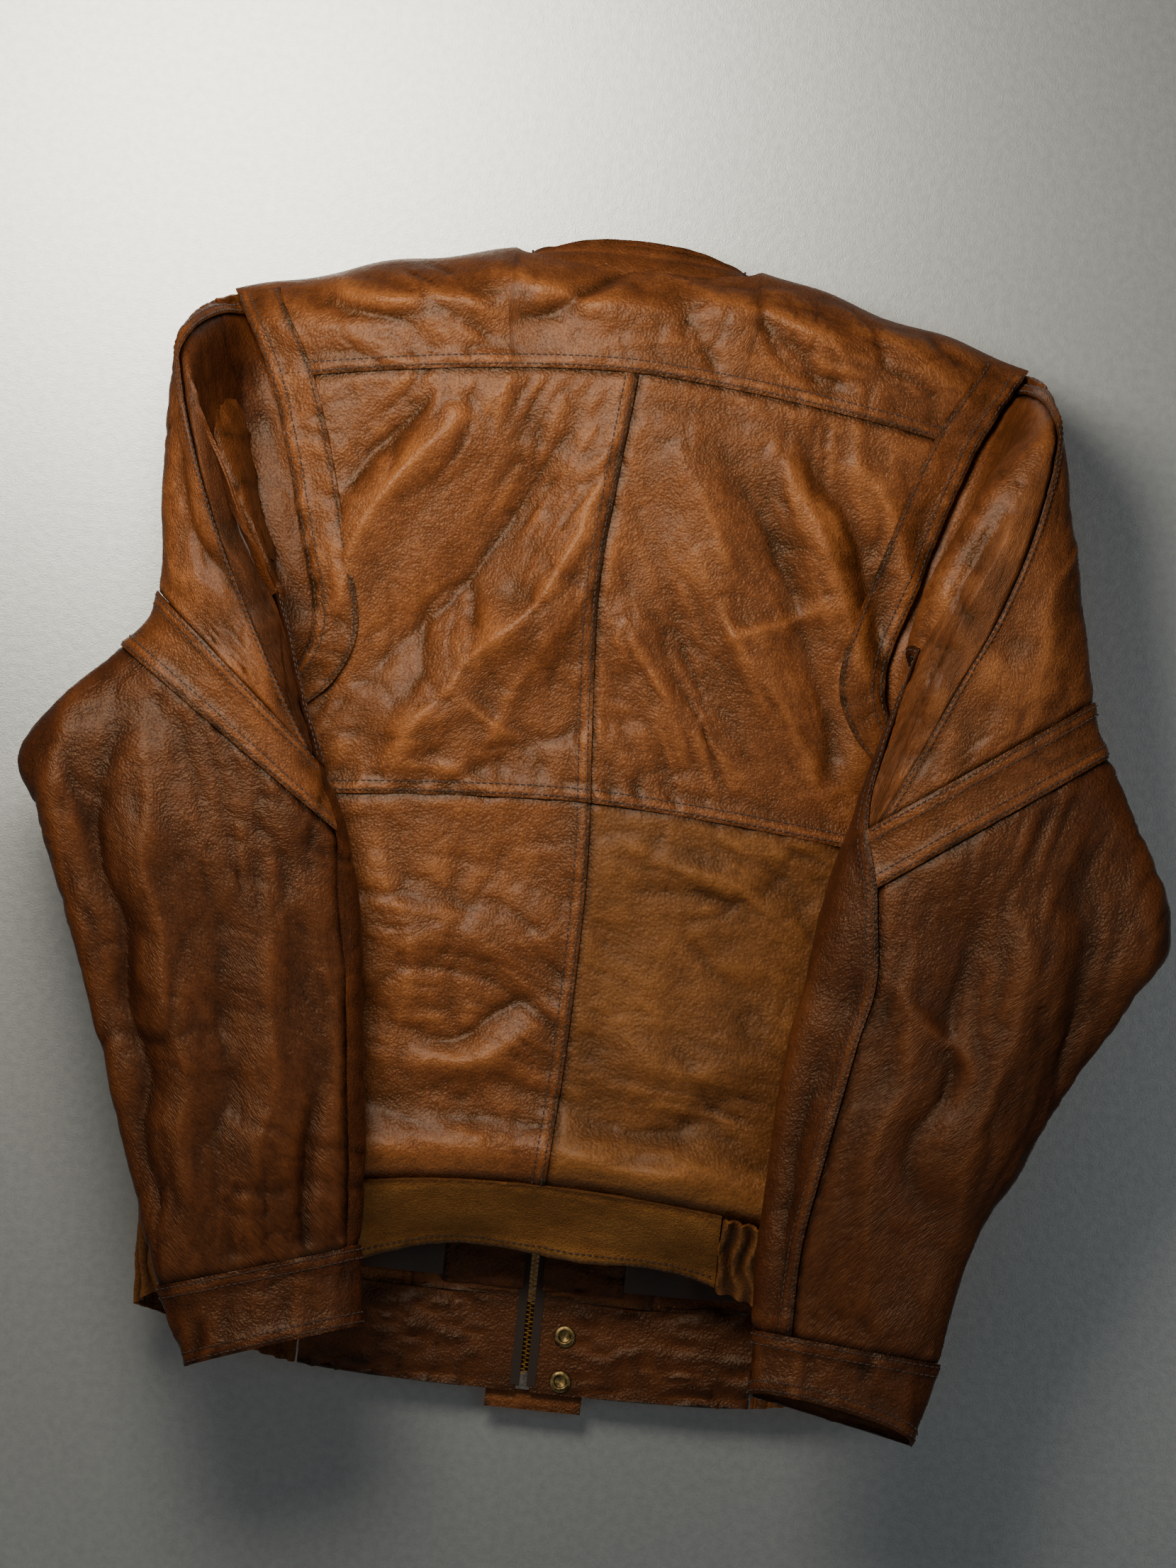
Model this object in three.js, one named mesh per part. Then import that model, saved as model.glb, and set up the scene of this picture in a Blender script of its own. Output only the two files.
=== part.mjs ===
// A leather riding jacket with a blouson waist, hanging from its neck loop, seen as an assembly of the
// pieces it is sewn and riveted from. Millimetres, +Z up, -Y is the wearer's back, +X the wearer's right.
// The origin is the top of the hanger loop, inside the back of the neck.
import * as THREE from 'three';
import { mergeVertices } from 'three/addons/utils/BufferGeometryUtils.js';

// ---- Driving dimensions -------------------------------------------------------------------------
const leather = 1.6; // one layer of garment leather with its seam allowance
const doubled = 2.6; // two layers sewn together: cuffs, waistband, collar
const satin = 0.8; // lining with its interlining
const seamGap = 0.5; // kept on each side of a seam, so that neighbouring pieces stay apart
const layerGap = 0.5; // kept between a piece and the one that lies on it

const centreY = 28; // the middle plane of the hanging body, in front of the loop
const riseZ = 16; // all heights below are from a level this far above the loop's top
const shoulderHalf = 262; // centre back to shoulder point
const shoulderSlope = 46; // fall from the neck to the shoulder point
const neckHalf = 80;
const neckZ = -4; // where the neck meets the shoulder line
const neckDropBack = 8;
const neckDropFront = 70;
const hemHalf = 262;
const chestHalf = 240; // at the underarm
const backDepth = 50; // from the middle plane to the back panels
const frontDepth = 50; // and to the front panels
const shoulderRound = 42; // how far below the shoulder line the body reaches its full depth
const flatness = 3; // how square the body's section is
const yokeZ = -80; // back yoke seam at the centre
const yokeFall = 34; // how much lower the yoke seam is at the armholes
const waistZ = -362; // seam across the back
const waistFall = 20;
const armholeZ = -332; // underarm point
const acrossHalf = 188; // half the narrowest width between the armholes
const flangeWidth = 30; // strip sewn along the back armhole
const backBandZ = -616; // top of the back waistband
const bandHeight = 66; // waistband, seam to hem
const frontDrop = 72; // how much lower the waistband hangs in front than behind
const bandTuck = 50; // how far the back waistband tucks in under the blouse of the back
const backBandHalf = 118; // half the length of the plain part of the back waistband
const frontBandHalf = 150; // where the elastic starts in front

const zipHalf = 5; // centre front to the edge of each front panel
const tapeWidth = 12;
const toothReach = 3;
const toothPitch = 22;
const facingWidth = 55; // leather facing behind the front edge
const tabOverlap = 24; // how far the root of the waist tab is from the centre front
const tabMargin = 8; // from its snaps to its end
const snapRadius = 7.5;
const snapSpacing = 30;
const snapTapeGap = 1.5; // from the zip's tape to the backs of the snaps
const pocketLength = 150;
const pocketRise = 188; // middle of the pockets, above the front waistband
const weltWidth = 22;
const cuffTabSpan = 60; // degrees round the cuff
const flangeTop = 12; // from the shoulder line to the top of the strip along the armhole
const flangeFoot = 45; // from the underarm to its foot
const liningInset = 6; // from the outside of the body to the outside of the lining
const liningEdge = 20; // kept clear of the side seams, where the body turns
const collarInset = 2;
const collarRise = 24;
const collarLean = 16; // how far its upper edge slumps forwards in front, and more behind
const sleeveY = -94; // the middles of the sleeves are this far behind the body's middle plane
const sleeveFullness = 1; // thickness of the sleeves, front to back
const sleeveScale = 1; // length and width of the sleeves, about the shoulder points

// Each sleeve hangs its own way. A station is a section across it, from the outer edge to the inner one,
// measured outwards and upwards from the shoulder point; 'deep' is its half thickness.
const sleeveStations = {
  left: [
    { outer: [30, -46], inner: [-56, -206], deep: 24 },
    { outer: [32, -112], inner: [-74, -258], deep: 28 },
    { outer: [27, -204], inner: [-94, -308], deep: 30 }, // upper seam of the elbow band
    { outer: [46, -242], inner: [-115, -354], deep: 30 }, // its lower seam
    { outer: [104, -313], inner: [-124, -394], deep: 30 }, // elbow
    { outer: [82, -366], inner: [-134, -445], deep: 29 },
    { outer: [38, -486], inner: [-142, -530], deep: 26 },
    { outer: [0, -594], inner: [-147, -590], deep: 22 },
    { outer: [-20, -652], inner: [-148, -612], deep: 19 }, // cuff seam
    { outer: [-44, -702], inner: [-154, -664], deep: 20 }, // cuff edge
  ],
  right: [
    { outer: [22, -40], inner: [-60, -200], deep: 24 },
    { outer: [40, -118], inner: [-78, -262], deep: 28 },
    { outer: [61, -213], inner: [-94, -322], deep: 30 },
    { outer: [74, -248], inner: [-102, -372], deep: 30 },
    { outer: [124, -352], inner: [-108, -420], deep: 30 },
    { outer: [104, -402], inner: [-114, -466], deep: 29 },
    { outer: [58, -492], inner: [-119, -540], deep: 26 },
    { outer: [20, -574], inner: [-120, -590], deep: 22 },
    { outer: [5, -650], inner: [-117, -640], deep: 19 },
    { outer: [-6, -706], inner: [-117, -684], deep: 20 },
  ],
};
const bandTop = 2; // station numbers
const bandBottom = 3;
const cuffSeam = 8;
const cuffEdge = 9;
const underStart = 150; // degrees round the sleeve, from the outer edge over the back, to the under sleeve
const underEnd = 232;

// ---- Helpers ------------------------------------------------------------------------------------
const { lerp, degToRad } = THREE.MathUtils;
const vec = (x, y, z) => new THREE.Vector3(x, y, z);

/** A smooth curve y(x) through points in rising x, by Catmull-Rom. */
function through(points) {
  return (x) => {
    const last = points.length - 1;
    let i = 0;
    while (i < last - 1 && x > points[i + 1][0]) i += 1;
    const [a, b] = [points[i], points[i + 1]];
    const t = THREE.MathUtils.clamp((x - a[0]) / (b[0] - a[0]), 0, 1);
    const slope = (p, q) => (q[1] - p[1]) / (q[0] - p[0]);
    const before = slope(points[Math.max(i - 1, 0)], points[i === 0 ? 1 : i + 1]);
    const after = slope(a, points[Math.min(i + 2, last)]);
    const width = b[0] - a[0];
    return (
      (2 * t ** 3 - 3 * t ** 2 + 1) * a[1] +
      (t ** 3 - 2 * t ** 2 + t) * width * before +
      (3 * t ** 2 - 2 * t ** 3) * b[1] +
      (t ** 3 - t ** 2) * width * after
    );
  };
}

/** Position of the surface fn(a, b) and its unit normal, on the side that away(point) points to. */
function normalAt(fn, a, b, away) {
  const step = 1e-3;
  const at = (x, y) => fn(THREE.MathUtils.clamp(x, 0, 1), THREE.MathUtils.clamp(y, 0, 1));
  const alongA = at(a + step, b).sub(at(a - step, b));
  const alongB = at(a, b + step).sub(at(a, b - step));
  const normal = alongA.cross(alongB).normalize();
  return normal.dot(away(fn(a, b))) < 0 ? normal.negate() : normal;
}

/** A closed sheet whose outer face is fn(a, b), a and b from 0 to 1, and which is thick on the inside. */
function sheet(fn, { columns, rows, thick, away }) {
  const outer = [];
  const inner = [];
  for (let j = 0; j <= rows; j += 1) {
    for (let i = 0; i <= columns; i += 1) {
      const [a, b] = [i / columns, j / rows];
      const point = fn(a, b);
      outer.push(point);
      inner.push(point.clone().addScaledVector(normalAt(fn, a, b, away), -thick));
    }
  }
  const points = [...outer, ...inner];
  const layer = outer.length;
  const at = (i, j) => j * (columns + 1) + i;
  const faces = [];
  const quad = (p, q, r, s) => faces.push(p, q, r, p, r, s);
  for (let j = 0; j < rows; j += 1) {
    for (let i = 0; i < columns; i += 1) {
      const [p, q, r, s] = [at(i, j), at(i + 1, j), at(i + 1, j + 1), at(i, j + 1)];
      quad(p, q, r, s);
      quad(layer + s, layer + r, layer + q, layer + p);
    }
  }
  for (let i = 0; i < columns; i += 1) {
    quad(at(i + 1, 0), at(i, 0), layer + at(i, 0), layer + at(i + 1, 0));
    quad(at(i, rows), at(i + 1, rows), layer + at(i + 1, rows), layer + at(i, rows));
  }
  for (let j = 0; j < rows; j += 1) {
    quad(at(0, j), at(0, j + 1), layer + at(0, j + 1), layer + at(0, j));
    quad(at(columns, j + 1), at(columns, j), layer + at(columns, j), layer + at(columns, j + 1));
  }
  return outwards(points, faces);
}

/** A geometry of these triangles, all turned round if they point inwards. */
function outwards(points, faces) {
  let volume = 0;
  for (let i = 0; i < faces.length; i += 3) {
    const [p, q, r] = [points[faces[i]], points[faces[i + 1]], points[faces[i + 2]]];
    volume += p.dot(q.clone().cross(r));
  }
  const order = volume < 0 ? faces.slice().reverse() : faces;
  const geometry = new THREE.BufferGeometry();
  geometry.setAttribute('position', new THREE.Float32BufferAttribute(points.flatMap((p) => p.toArray()), 3));
  geometry.setIndex(order);
  return geometry;
}

/** A geometry with only its positions, and its shared vertices merged. */
function bare(geometry) {
  const copy = geometry.clone();
  copy.deleteAttribute('normal');
  copy.deleteAttribute('uv');
  return mergeVertices(copy, 1e-4);
}

const jacket = new THREE.Group();
jacket.position.set(0, centreY, riseZ);

/** Adds a named piece. */
function add(name, geometry, finish) {
  const mesh = new THREE.Mesh(geometry, finish);
  mesh.name = name;
  jacket.add(mesh);
  return mesh;
}

const finish = (color, roughness, metalness = 0) =>
  new THREE.MeshStandardMaterial({ color, roughness, metalness });
const brownLeather = finish('#6f4122', 0.5);
const tanLeather = finish('#80562c', 0.65);
const darkLeather = finish('#4a2a17', 0.5);
const liningSatin = finish('#2a1c16', 0.45);
const tapeCloth = finish('#3c2617', 0.85);
const zipBrass = finish('#a8833f', 0.35, 1);
const snapBrass = finish('#8a7548', 0.4, 1);
const zipSteel = finish('#7d7a74', 0.35, 1);

// ---- The body -----------------------------------------------------------------------------------
const bodyHalf = through([
  [backBandZ - frontDrop - bandHeight, hemHalf],
  [backBandZ, hemHalf],
  [armholeZ, chestHalf],
  [neckZ - shoulderSlope, shoulderHalf + 6],
  [neckZ, shoulderHalf + 6],
]);

/** Half the width between the armhole edges at height z. */
const armholeEdge = through([
  [armholeZ, chestHalf - 4],
  [armholeZ + 30, acrossHalf + 14],
  [armholeZ + 68, acrossHalf],
  [armholeZ + 127, acrossHalf + 14],
  [neckZ - shoulderSlope - 58, shoulderHalf - 30],
  [neckZ - shoulderSlope, shoulderHalf],
]);

/** Height of the shoulder line. */
const shoulderLine = (x) => {
  const out = Math.max(0, Math.abs(x) - neckHalf) / (shoulderHalf - neckHalf);
  return neckZ - shoulderSlope * out ** 1.1;
};

/** A point on the body: side is -1 on the back and 1 on the front, and inset is how far inside it lies. */
function bodyPoint(side, x, z, inset = 0) {
  const half = bodyHalf(z) - inset;
  const across = Math.max(0, 1 - Math.abs(x / half) ** flatness) ** (1 / flatness);
  const below = Math.max(0, shoulderLine(x) - inset - z);
  const up = Math.max(0, 1 - below / shoulderRound);
  const depth = (side < 0 ? backDepth : frontDepth) - inset;
  return vec(x, side * (seamGap + depth * across * Math.sqrt(1 - up ** 2)), z);
}

const fromBodyAxis = (p) => vec(p.x * 0.2, p.y, Math.max(0, p.z + 2 * shoulderRound) * 0.5);

/** A patch of the body between heights top(x) and bottom(x) and widths left(z) and right(z). */
function bodyPatch({ side, left, right, top, bottom, inset = 0, gap = seamGap, ease = (a) => a }) {
  const middle = (left(waistZ) + right(waistZ)) / 2;
  return (a, b) => {
    const guess = lerp(top(middle), bottom(middle), b);
    const level = (x) => lerp(top(x) - gap, bottom(x) + gap, b);
    let x = lerp(left(guess) + gap, right(guess) - gap, ease(a));
    x = lerp(left(level(x)) + gap, right(level(x)) - gap, ease(a));
    return bodyPoint(side, x, level(x), inset);
  };
}

// Easing that puts more points near the side edges, where the body turns sharply.
const easeRight = (a) => Math.sin((a * Math.PI) / 2);
const easeLeft = (a) => 1 - Math.sin(((1 - a) * Math.PI) / 2);

// The same for a front panel, with half of the points in the neck.
const neckShare = neckHalf / shoulderHalf;
const easeFrontRight = (a) =>
  a < 0.5 ? 2 * a * neckShare : lerp(neckShare, 1, Math.sin((a - 0.5) * Math.PI));
const easeFrontLeft = (a) => 1 - easeFrontRight(1 - a);

const yokeSeam = (x) => yokeZ - yokeFall * (Math.abs(x) / shoulderHalf) ** 1.6;
const waistSeam = (x) => waistZ - waistFall * (Math.abs(x) / chestHalf) ** 1.5;
const backBandTop = (x) => backBandZ - 38 * (Math.abs(x) / hemHalf) ** 2;
const sideBandTop = backBandTop(hemHalf);
const frontBandTop = through([
  [0, backBandZ - frontDrop],
  [frontBandHalf, backBandZ - frontDrop + 4],
  [hemHalf, sideBandTop],
]);
const neckDepth = (x, drop) => drop * Math.sqrt(Math.max(0, 1 - (x / neckHalf) ** 2));
const backNeck = (x) => shoulderLine(x) - neckDepth(x, neckDropBack) - 1;
const frontNeck = (x) => shoulderLine(x) - neckDepth(x, neckDropFront) - 1;
const bodyEdge = (z) => (z > armholeZ ? armholeEdge(z) : bodyHalf(z) + seamGap);
const liningHalf = (z) => Math.min(bodyEdge(z) - leather - layerGap, bodyHalf(z) - liningEdge);

/** Adds one panel of the body. */
function bodyPanel(name, patch, options) {
  add(
    name,
    sheet(bodyPatch(patch), {
      columns: options.columns,
      rows: options.rows,
      thick: options.thick ?? leather,
      away: fromBodyAxis,
    }),
    options.finish ?? brownLeather,
  );
}

bodyPanel(
  'back_yoke',
  {
    side: -1,
    left: (z) => -armholeEdge(z),
    right: armholeEdge,
    top: backNeck,
    bottom: yokeSeam,
  },
  { columns: 20, rows: 4 },
);
for (const [hand, sign] of [['left', -1], ['right', 1]]) {
  const outwardsFrom = (centre, edge) =>
    sign < 0
      ? { left: (z) => -edge(z), right: () => -centre, ease: easeLeft }
      : { left: () => centre, right: edge, ease: easeRight };
  bodyPanel(
    `back_upper_${hand}`,
    { side: -1, ...outwardsFrom(0, bodyEdge), top: yokeSeam, bottom: waistSeam },
    { columns: 7, rows: 9 },
  );
  bodyPanel(
    `back_lower_${hand}`,
    { side: -1, ...outwardsFrom(0, bodyEdge), top: waistSeam, bottom: backBandTop },
    { columns: 8, rows: 5, finish: hand === 'right' ? tanLeather : brownLeather },
  );
  bodyPanel(
    `front_panel_${hand}`,
    {
      side: 1,
      ...outwardsFrom(zipHalf - seamGap, bodyEdge),
      ease: sign < 0 ? easeFrontLeft : easeFrontRight,
      top: frontNeck,
      bottom: (x) => frontBandTop(Math.abs(x)),
    },
    { columns: 12, rows: 13 },
  );
  bodyPanel(
    `front_facing_${hand}`,
    {
      side: 1,
      ...outwardsFrom(zipHalf + tapeWidth * 0.4, () => zipHalf + facingWidth),
      ease: (a) => a,
      top: () => neckZ - neckDropFront - 30,
      bottom: (x) => frontBandTop(Math.abs(x)) + 2,
      inset: leather + satin + 5 * layerGap,
    },
    { columns: 3, rows: 8, thick: leather },
  );
  bodyPanel(
    `front_lining_${hand}`,
    {
      side: 1,
      ...outwardsFrom(zipHalf + facingWidth, liningHalf),
      ease: (a) => a,
      top: (x) => Math.min(shoulderLine(x) - shoulderRound, neckZ - neckDropFront) - 16,
      bottom: (x) => frontBandTop(Math.abs(x)) + liningInset,
      inset: liningInset,
    },
    { columns: 6, rows: 9, thick: satin, finish: liningSatin },
  );
}
bodyPanel(
  'back_lining',
  {
    side: -1,
    left: (z) => -liningHalf(z),
    right: liningHalf,
    top: (x) => shoulderLine(x) - shoulderRound - 4,
    bottom: (x) => backBandTop(x) + liningInset,
    inset: liningInset,
  },
  { columns: 12, rows: 8, thick: satin, finish: liningSatin },
);

// Strip along each back armhole, lying on the yoke and the upper back and overlapping the sleeve head.
for (const [hand, sign] of [['left', -1], ['right', 1]]) {
  const proud = -(leather + 2 * layerGap);
  const edges =
    sign < 0
      ? { left: (z) => -armholeEdge(z), right: (z) => flangeWidth - armholeEdge(z) }
      : { left: (z) => armholeEdge(z) - flangeWidth, right: armholeEdge };
  bodyPanel(
    `shoulder_flange_${hand}`,
    {
      side: -1,
      ...edges,
      top: (x) => shoulderLine(x) - flangeTop,
      bottom: () => armholeZ + flangeFoot,
      inset: proud,
    },
    { columns: 2, rows: 10 },
  );
}

// ---- Waistband ----------------------------------------------------------------------------------
// The seam and the hem of the right half, from the centre back round the side to the centre front.
const bandSeam = new THREE.CatmullRomCurve3([
  ...[0, 0.23, 0.45, 0.76, 0.93].map((k) => {
    const x = k * hemHalf;
    return bodyPoint(-1, x, backBandTop(x) - seamGap).setX(x);
  }),
  vec(hemHalf, 0, sideBandTop - seamGap),
  ...[0.93, 0.76, 0.57, 0.28, 0].map((k) => {
    const x = k * hemHalf;
    return bodyPoint(1, x, frontBandTop(x) - seamGap).setX(x);
  }),
]);
const bandHem = new THREE.CatmullRomCurve3([
  ...[0, 0.23, 0.45, 0.76, 0.93].map((k) => {
    const x = k * hemHalf;
    const tuck = bandTuck * (1 - k ** 2 * 0.6);
    const fall = Math.sqrt(bandHeight ** 2 - tuck ** 2);
    return bodyPoint(-1, x, backBandTop(x) - fall).add(vec(0, tuck, 0));
  }),
  vec(hemHalf - 3, 8, sideBandTop - bandHeight),
  ...[0.93, 0.76, 0.57, 0.28, 0].map((k) => {
    const x = k * hemHalf;
    return bodyPoint(1, x, frontBandTop(x) - bandHeight).setX(x);
  }),
]);

/** The share of a curve at which x is nearest to this value, on its back or front half. */
function shareAt(curve, x, front) {
  let [low, high] = front ? [0.5, 1] : [0, 0.5];
  for (let i = 0; i < 30; i += 1) {
    const middle = (low + high) / 2;
    const beyond = curve.getPoint(middle).x > x;
    if (beyond === front) low = middle;
    else high = middle;
  }
  return low;
}

/** Part of the waistband, between two places given by x, and by whether they are in front. */
function bandPiece(name, sign, from, to, options) {
  const limits = [bandSeam, bandHem].map((curve) => [
    shareAt(curve, from.x, from.front) + (from.gap ?? 0),
    shareAt(curve, to.x, to.front) - (to.gap ?? 0),
  ]);
  const fn = (a, b) => {
    const top = bandSeam.getPoint(lerp(limits[0][0], limits[0][1], a));
    const hem = bandHem.getPoint(lerp(limits[1][0], limits[1][1], a));
    const point = top.lerp(hem, lerp(0.02, 1, b));
    return vec(sign * point.x, point.y, point.z);
  };
  const away = (p) => vec(p.x * 0.3, p.y, -4);
  add(name, sheet(fn, { rows: 3, thick: doubled, away, ...options }), options.finish ?? brownLeather);
}

const backBand = (a, b) => {
  const x = lerp(-backBandHalf, backBandHalf, a);
  const share = (curve) => shareAt(curve, Math.abs(x), false);
  const top = bandSeam.getPoint(share(bandSeam));
  const hem = bandHem.getPoint(share(bandHem));
  const point = top.lerp(hem, lerp(0.02, 1, b));
  return vec(x, point.y, point.z);
};
add(
  'back_waistband',
  sheet(backBand, { columns: 12, rows: 3, thick: doubled, away: (p) => vec(0, p.y - 10, -4) }),
  tanLeather,
);
for (const [hand, sign] of [['left', -1], ['right', 1]]) {
  bandPiece(
    `side_elastic_${hand}`,
    sign,
    { x: backBandHalf + 1, front: false },
    { x: frontBandHalf + 1, front: true },
    { columns: 14, finish: tanLeather },
  );
  bandPiece(
    `front_waistband_${hand}`,
    sign,
    { x: frontBandHalf, front: true },
    { x: zipHalf, front: true },
    { columns: 6 },
  );
}

// ---- Collar and hanger loop ---------------------------------------------------------------------
/** The neck seam, from the left front edge round the back to the right front edge. */
const neckCurve = (() => {
  const right = [0, 0.35, 0.7, 0.92].map((k) => {
    const x = k * neckHalf;
    return bodyPoint(-1, x, backNeck(x) - 0.5);
  });
  right.push(vec(neckHalf, 0, neckZ));
  for (const k of [0.93, 0.75, 0.5, 0.25, 0.09]) {
    const x = k * neckHalf;
    right.push(bodyPoint(1, x, frontNeck(x)));
  }
  const left = right.slice(1).reverse().map((p) => vec(-p.x, p.y, p.z));
  return new THREE.CatmullRomCurve3([...left, ...right]);
})();

/** The collar, slumped forwards at the back and standing open in front. */
function collarPoint(a, b, inset) {
  const foot = neckCurve.getPoint(lerp(0.008, 0.992, a));
  const behind = THREE.MathUtils.smoothstep(-foot.y, -frontDepth, 25);
  const rise = collarRise * lerp(1, 0.58, (foot.x / neckHalf) ** 2) * b;
  const lean = collarLean * lerp(1, 1.6, behind) * b ** 1.5;
  const spread = (foot.x / neckHalf) * 6 * b * behind;
  const out = vec(foot.x, foot.y - 6, 0).normalize();
  return vec(foot.x + spread, foot.y + lean, foot.z + 2.2 + rise).addScaledVector(out, -inset);
}
const fromNeck = (p) => vec(p.x, p.y - 12, -6);
add(
  'collar_outer',
  sheet((a, b) => collarPoint(a, b, collarInset), { columns: 22, rows: 3, thick: leather, away: fromNeck }),
  brownLeather,
);
add(
  'collar_inner',
  sheet((a, b) => collarPoint(a, b, collarInset + 2 * leather + 4), {
    columns: 22,
    rows: 3,
    thick: leather,
    away: fromNeck,
  }),
  brownLeather,
);

const loopHalf = 32;
const loopWidth = 5;
const loopSag = 7;
const loopTilt = 28; // it leans back against the yoke
const loopLeg = 26;
const loopShape = (() => {
  const top = [];
  const bottom = [];
  const steps = 12;
  for (let i = 0; i <= steps; i += 1) {
    const k = (2 * i) / steps - 1;
    const x = k * loopHalf;
    top.push([x, -loopSag * k ** 4]);
    bottom.unshift([x * (1 - loopWidth / loopHalf), -loopWidth - (loopSag + 6) * k ** 8]);
  }
  const shape = new THREE.Shape();
  [...top, [loopHalf, -loopLeg], [loopHalf - loopWidth, -loopLeg], ...bottom, [loopWidth - loopHalf, -loopLeg], [-loopHalf, -loopLeg]]
    .forEach(([x, z], i) => (i ? shape.lineTo(x, z) : shape.moveTo(x, z)));
  return shape;
})();
const loop = bare(new THREE.ExtrudeGeometry(loopShape, { depth: leather, bevelEnabled: false }));
loop.rotateX(Math.PI / 2);
loop.rotateX(degToRad(-loopTilt));
loop.translate(0, -centreY, -riseZ);
add('hanger_loop', loop, brownLeather);

// ---- Front zip ----------------------------------------------------------------------------------
const zipTop = neckZ - neckDropFront - 6;
const zipBottom = backBandZ - frontDrop - bandHeight + 4;
const zipLength = zipTop - zipBottom;
const zipY = frontDepth + seamGap; // outer face of the front panels
for (const [hand, sign] of [['left', -1], ['right', 1]]) {
  const tape = new THREE.BoxGeometry(tapeWidth, satin, zipLength);
  tape.translate(
    sign * (toothReach + layerGap + tapeWidth / 2),
    zipY - doubled - layerGap - satin / 2,
    (zipTop + zipBottom) / 2,
  );
  add(`zip_tape_${hand}`, bare(tape), tapeCloth);

  // A cord with teeth on it, which reach past the centre between the other side's teeth.
  const comb = new THREE.Shape();
  const [root, tip, notch] = [toothReach, -toothReach * 0.4, toothReach * 0.55];
  const shift = sign > 0 ? toothPitch / 2 : 0;
  comb.moveTo(root, zipTop - shift);
  comb.lineTo(root, zipBottom + toothPitch - shift);
  for (let z = zipBottom + toothPitch - shift; z < zipTop - shift - toothPitch * 0.9; z += toothPitch) {
    comb.lineTo(notch, z);
    comb.lineTo(notch, z + toothPitch * 0.3);
    comb.lineTo(tip, z + toothPitch * 0.34);
    comb.lineTo(tip, z + toothPitch * 0.66);
    comb.lineTo(notch, z + toothPitch * 0.7);
  }
  comb.lineTo(notch, zipTop - shift);
  const teeth = bare(new THREE.ExtrudeGeometry(comb, { depth: leather, bevelEnabled: false }));
  teeth.rotateX(Math.PI / 2);
  if (sign < 0) teeth.rotateZ(Math.PI);
  teeth.translate(0, sign < 0 ? zipY - leather : zipY, 0);
  add(`zip_teeth_${hand}`, teeth, zipBrass);
}
const boxHeight = 12;
const box = new THREE.BoxGeometry(2 * toothReach + 3, 2.4, boxHeight);
box.translate(0, zipY - leather / 2, zipBottom - layerGap - boxHeight / 2 + toothPitch / 2 - 1);
add('zip_bottom_box', bare(box), zipSteel);

// The slider rides over the teeth; its two ears carry the puller.
const sliderTop = zipTop - 6;
const sliderLength = 13;
const sliderHalf = 5.6;
const sliderY = zipY + 1.2;
const earGap = 2.8;
const pullerR = 2.1;
const pullerY = sliderY + 1.8 + pullerR + 0.5;
const pullerZ = sliderTop - 4;
const sliderShape = new THREE.Shape();
sliderShape.moveTo(-sliderHalf, sliderY);
sliderShape.lineTo(sliderHalf, sliderY);
sliderShape.lineTo(sliderHalf, sliderY + 1.8);
sliderShape.lineTo(earGap + 1.6, sliderY + 1.8);
sliderShape.lineTo(earGap + 1.6, pullerY + pullerR);
sliderShape.lineTo(earGap, pullerY + pullerR);
sliderShape.lineTo(earGap, sliderY + 1.8);
sliderShape.lineTo(-earGap, sliderY + 1.8);
sliderShape.lineTo(-earGap, pullerY + pullerR);
sliderShape.lineTo(-earGap - 1.6, pullerY + pullerR);
sliderShape.lineTo(-earGap - 1.6, sliderY + 1.8);
sliderShape.lineTo(-sliderHalf, sliderY + 1.8);
sliderShape.closePath();
const slider = bare(new THREE.ExtrudeGeometry(sliderShape, { depth: sliderLength, bevelEnabled: false }));
slider.translate(0, 0, sliderTop - sliderLength);
add('zip_slider', slider, zipSteel);

const pullerLength = 34;
const pullerShape = new THREE.Shape();
pullerShape.absarc(0, 0, pullerR, 0, Math.PI, false);
pullerShape.lineTo(-pullerR * 0.6, -pullerLength * 0.3);
pullerShape.lineTo(-pullerR * 0.6, -pullerLength);
pullerShape.lineTo(pullerR * 0.6, -pullerLength);
pullerShape.lineTo(pullerR * 0.6, -pullerLength * 0.3);
pullerShape.closePath();
const puller = bare(
  new THREE.ExtrudeGeometry(pullerShape, { depth: 2 * (earGap - 0.4), bevelEnabled: false, curveSegments: 8 }),
);
puller.rotateX(Math.PI / 2); // the outline's up becomes +Z
puller.rotateZ(Math.PI / 2); // and its thickness runs along X
puller.translate(-(earGap - 0.4), pullerY, pullerZ);
add('zip_puller', puller, zipSteel);

// ---- Snaps --------------------------------------------------------------------------------------
/** A domed snap cap, standing on z = 0 and rising towards +Z. */
function snapCap(radius) {
  const profile = [
    [0, 0],
    [radius * 0.96, 0],
    [radius, 0.5],
    [radius * 0.8, 1.5],
    [radius * 0.4, 2.1],
    [0, 2.3],
  ];
  return bare(new THREE.LatheGeometry(profile.map(([r, h]) => new THREE.Vector2(r, h)), 16)).rotateX(Math.PI / 2);
}

/** The back of a snap: a ring round an open eyelet. */
function snapRing(radius) {
  const profile = [
    [radius * 0.38, 0],
    [radius, 0],
    [radius, 0.5],
    [radius * 0.72, 1.4],
    [radius * 0.45, 1.5],
    [radius * 0.38, 0.9],
    [radius * 0.38, 0],
  ];
  return bare(new THREE.LatheGeometry(profile.map(([r, h]) => new THREE.Vector2(r, h)), 16)).rotateX(Math.PI / 2);
}

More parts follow.
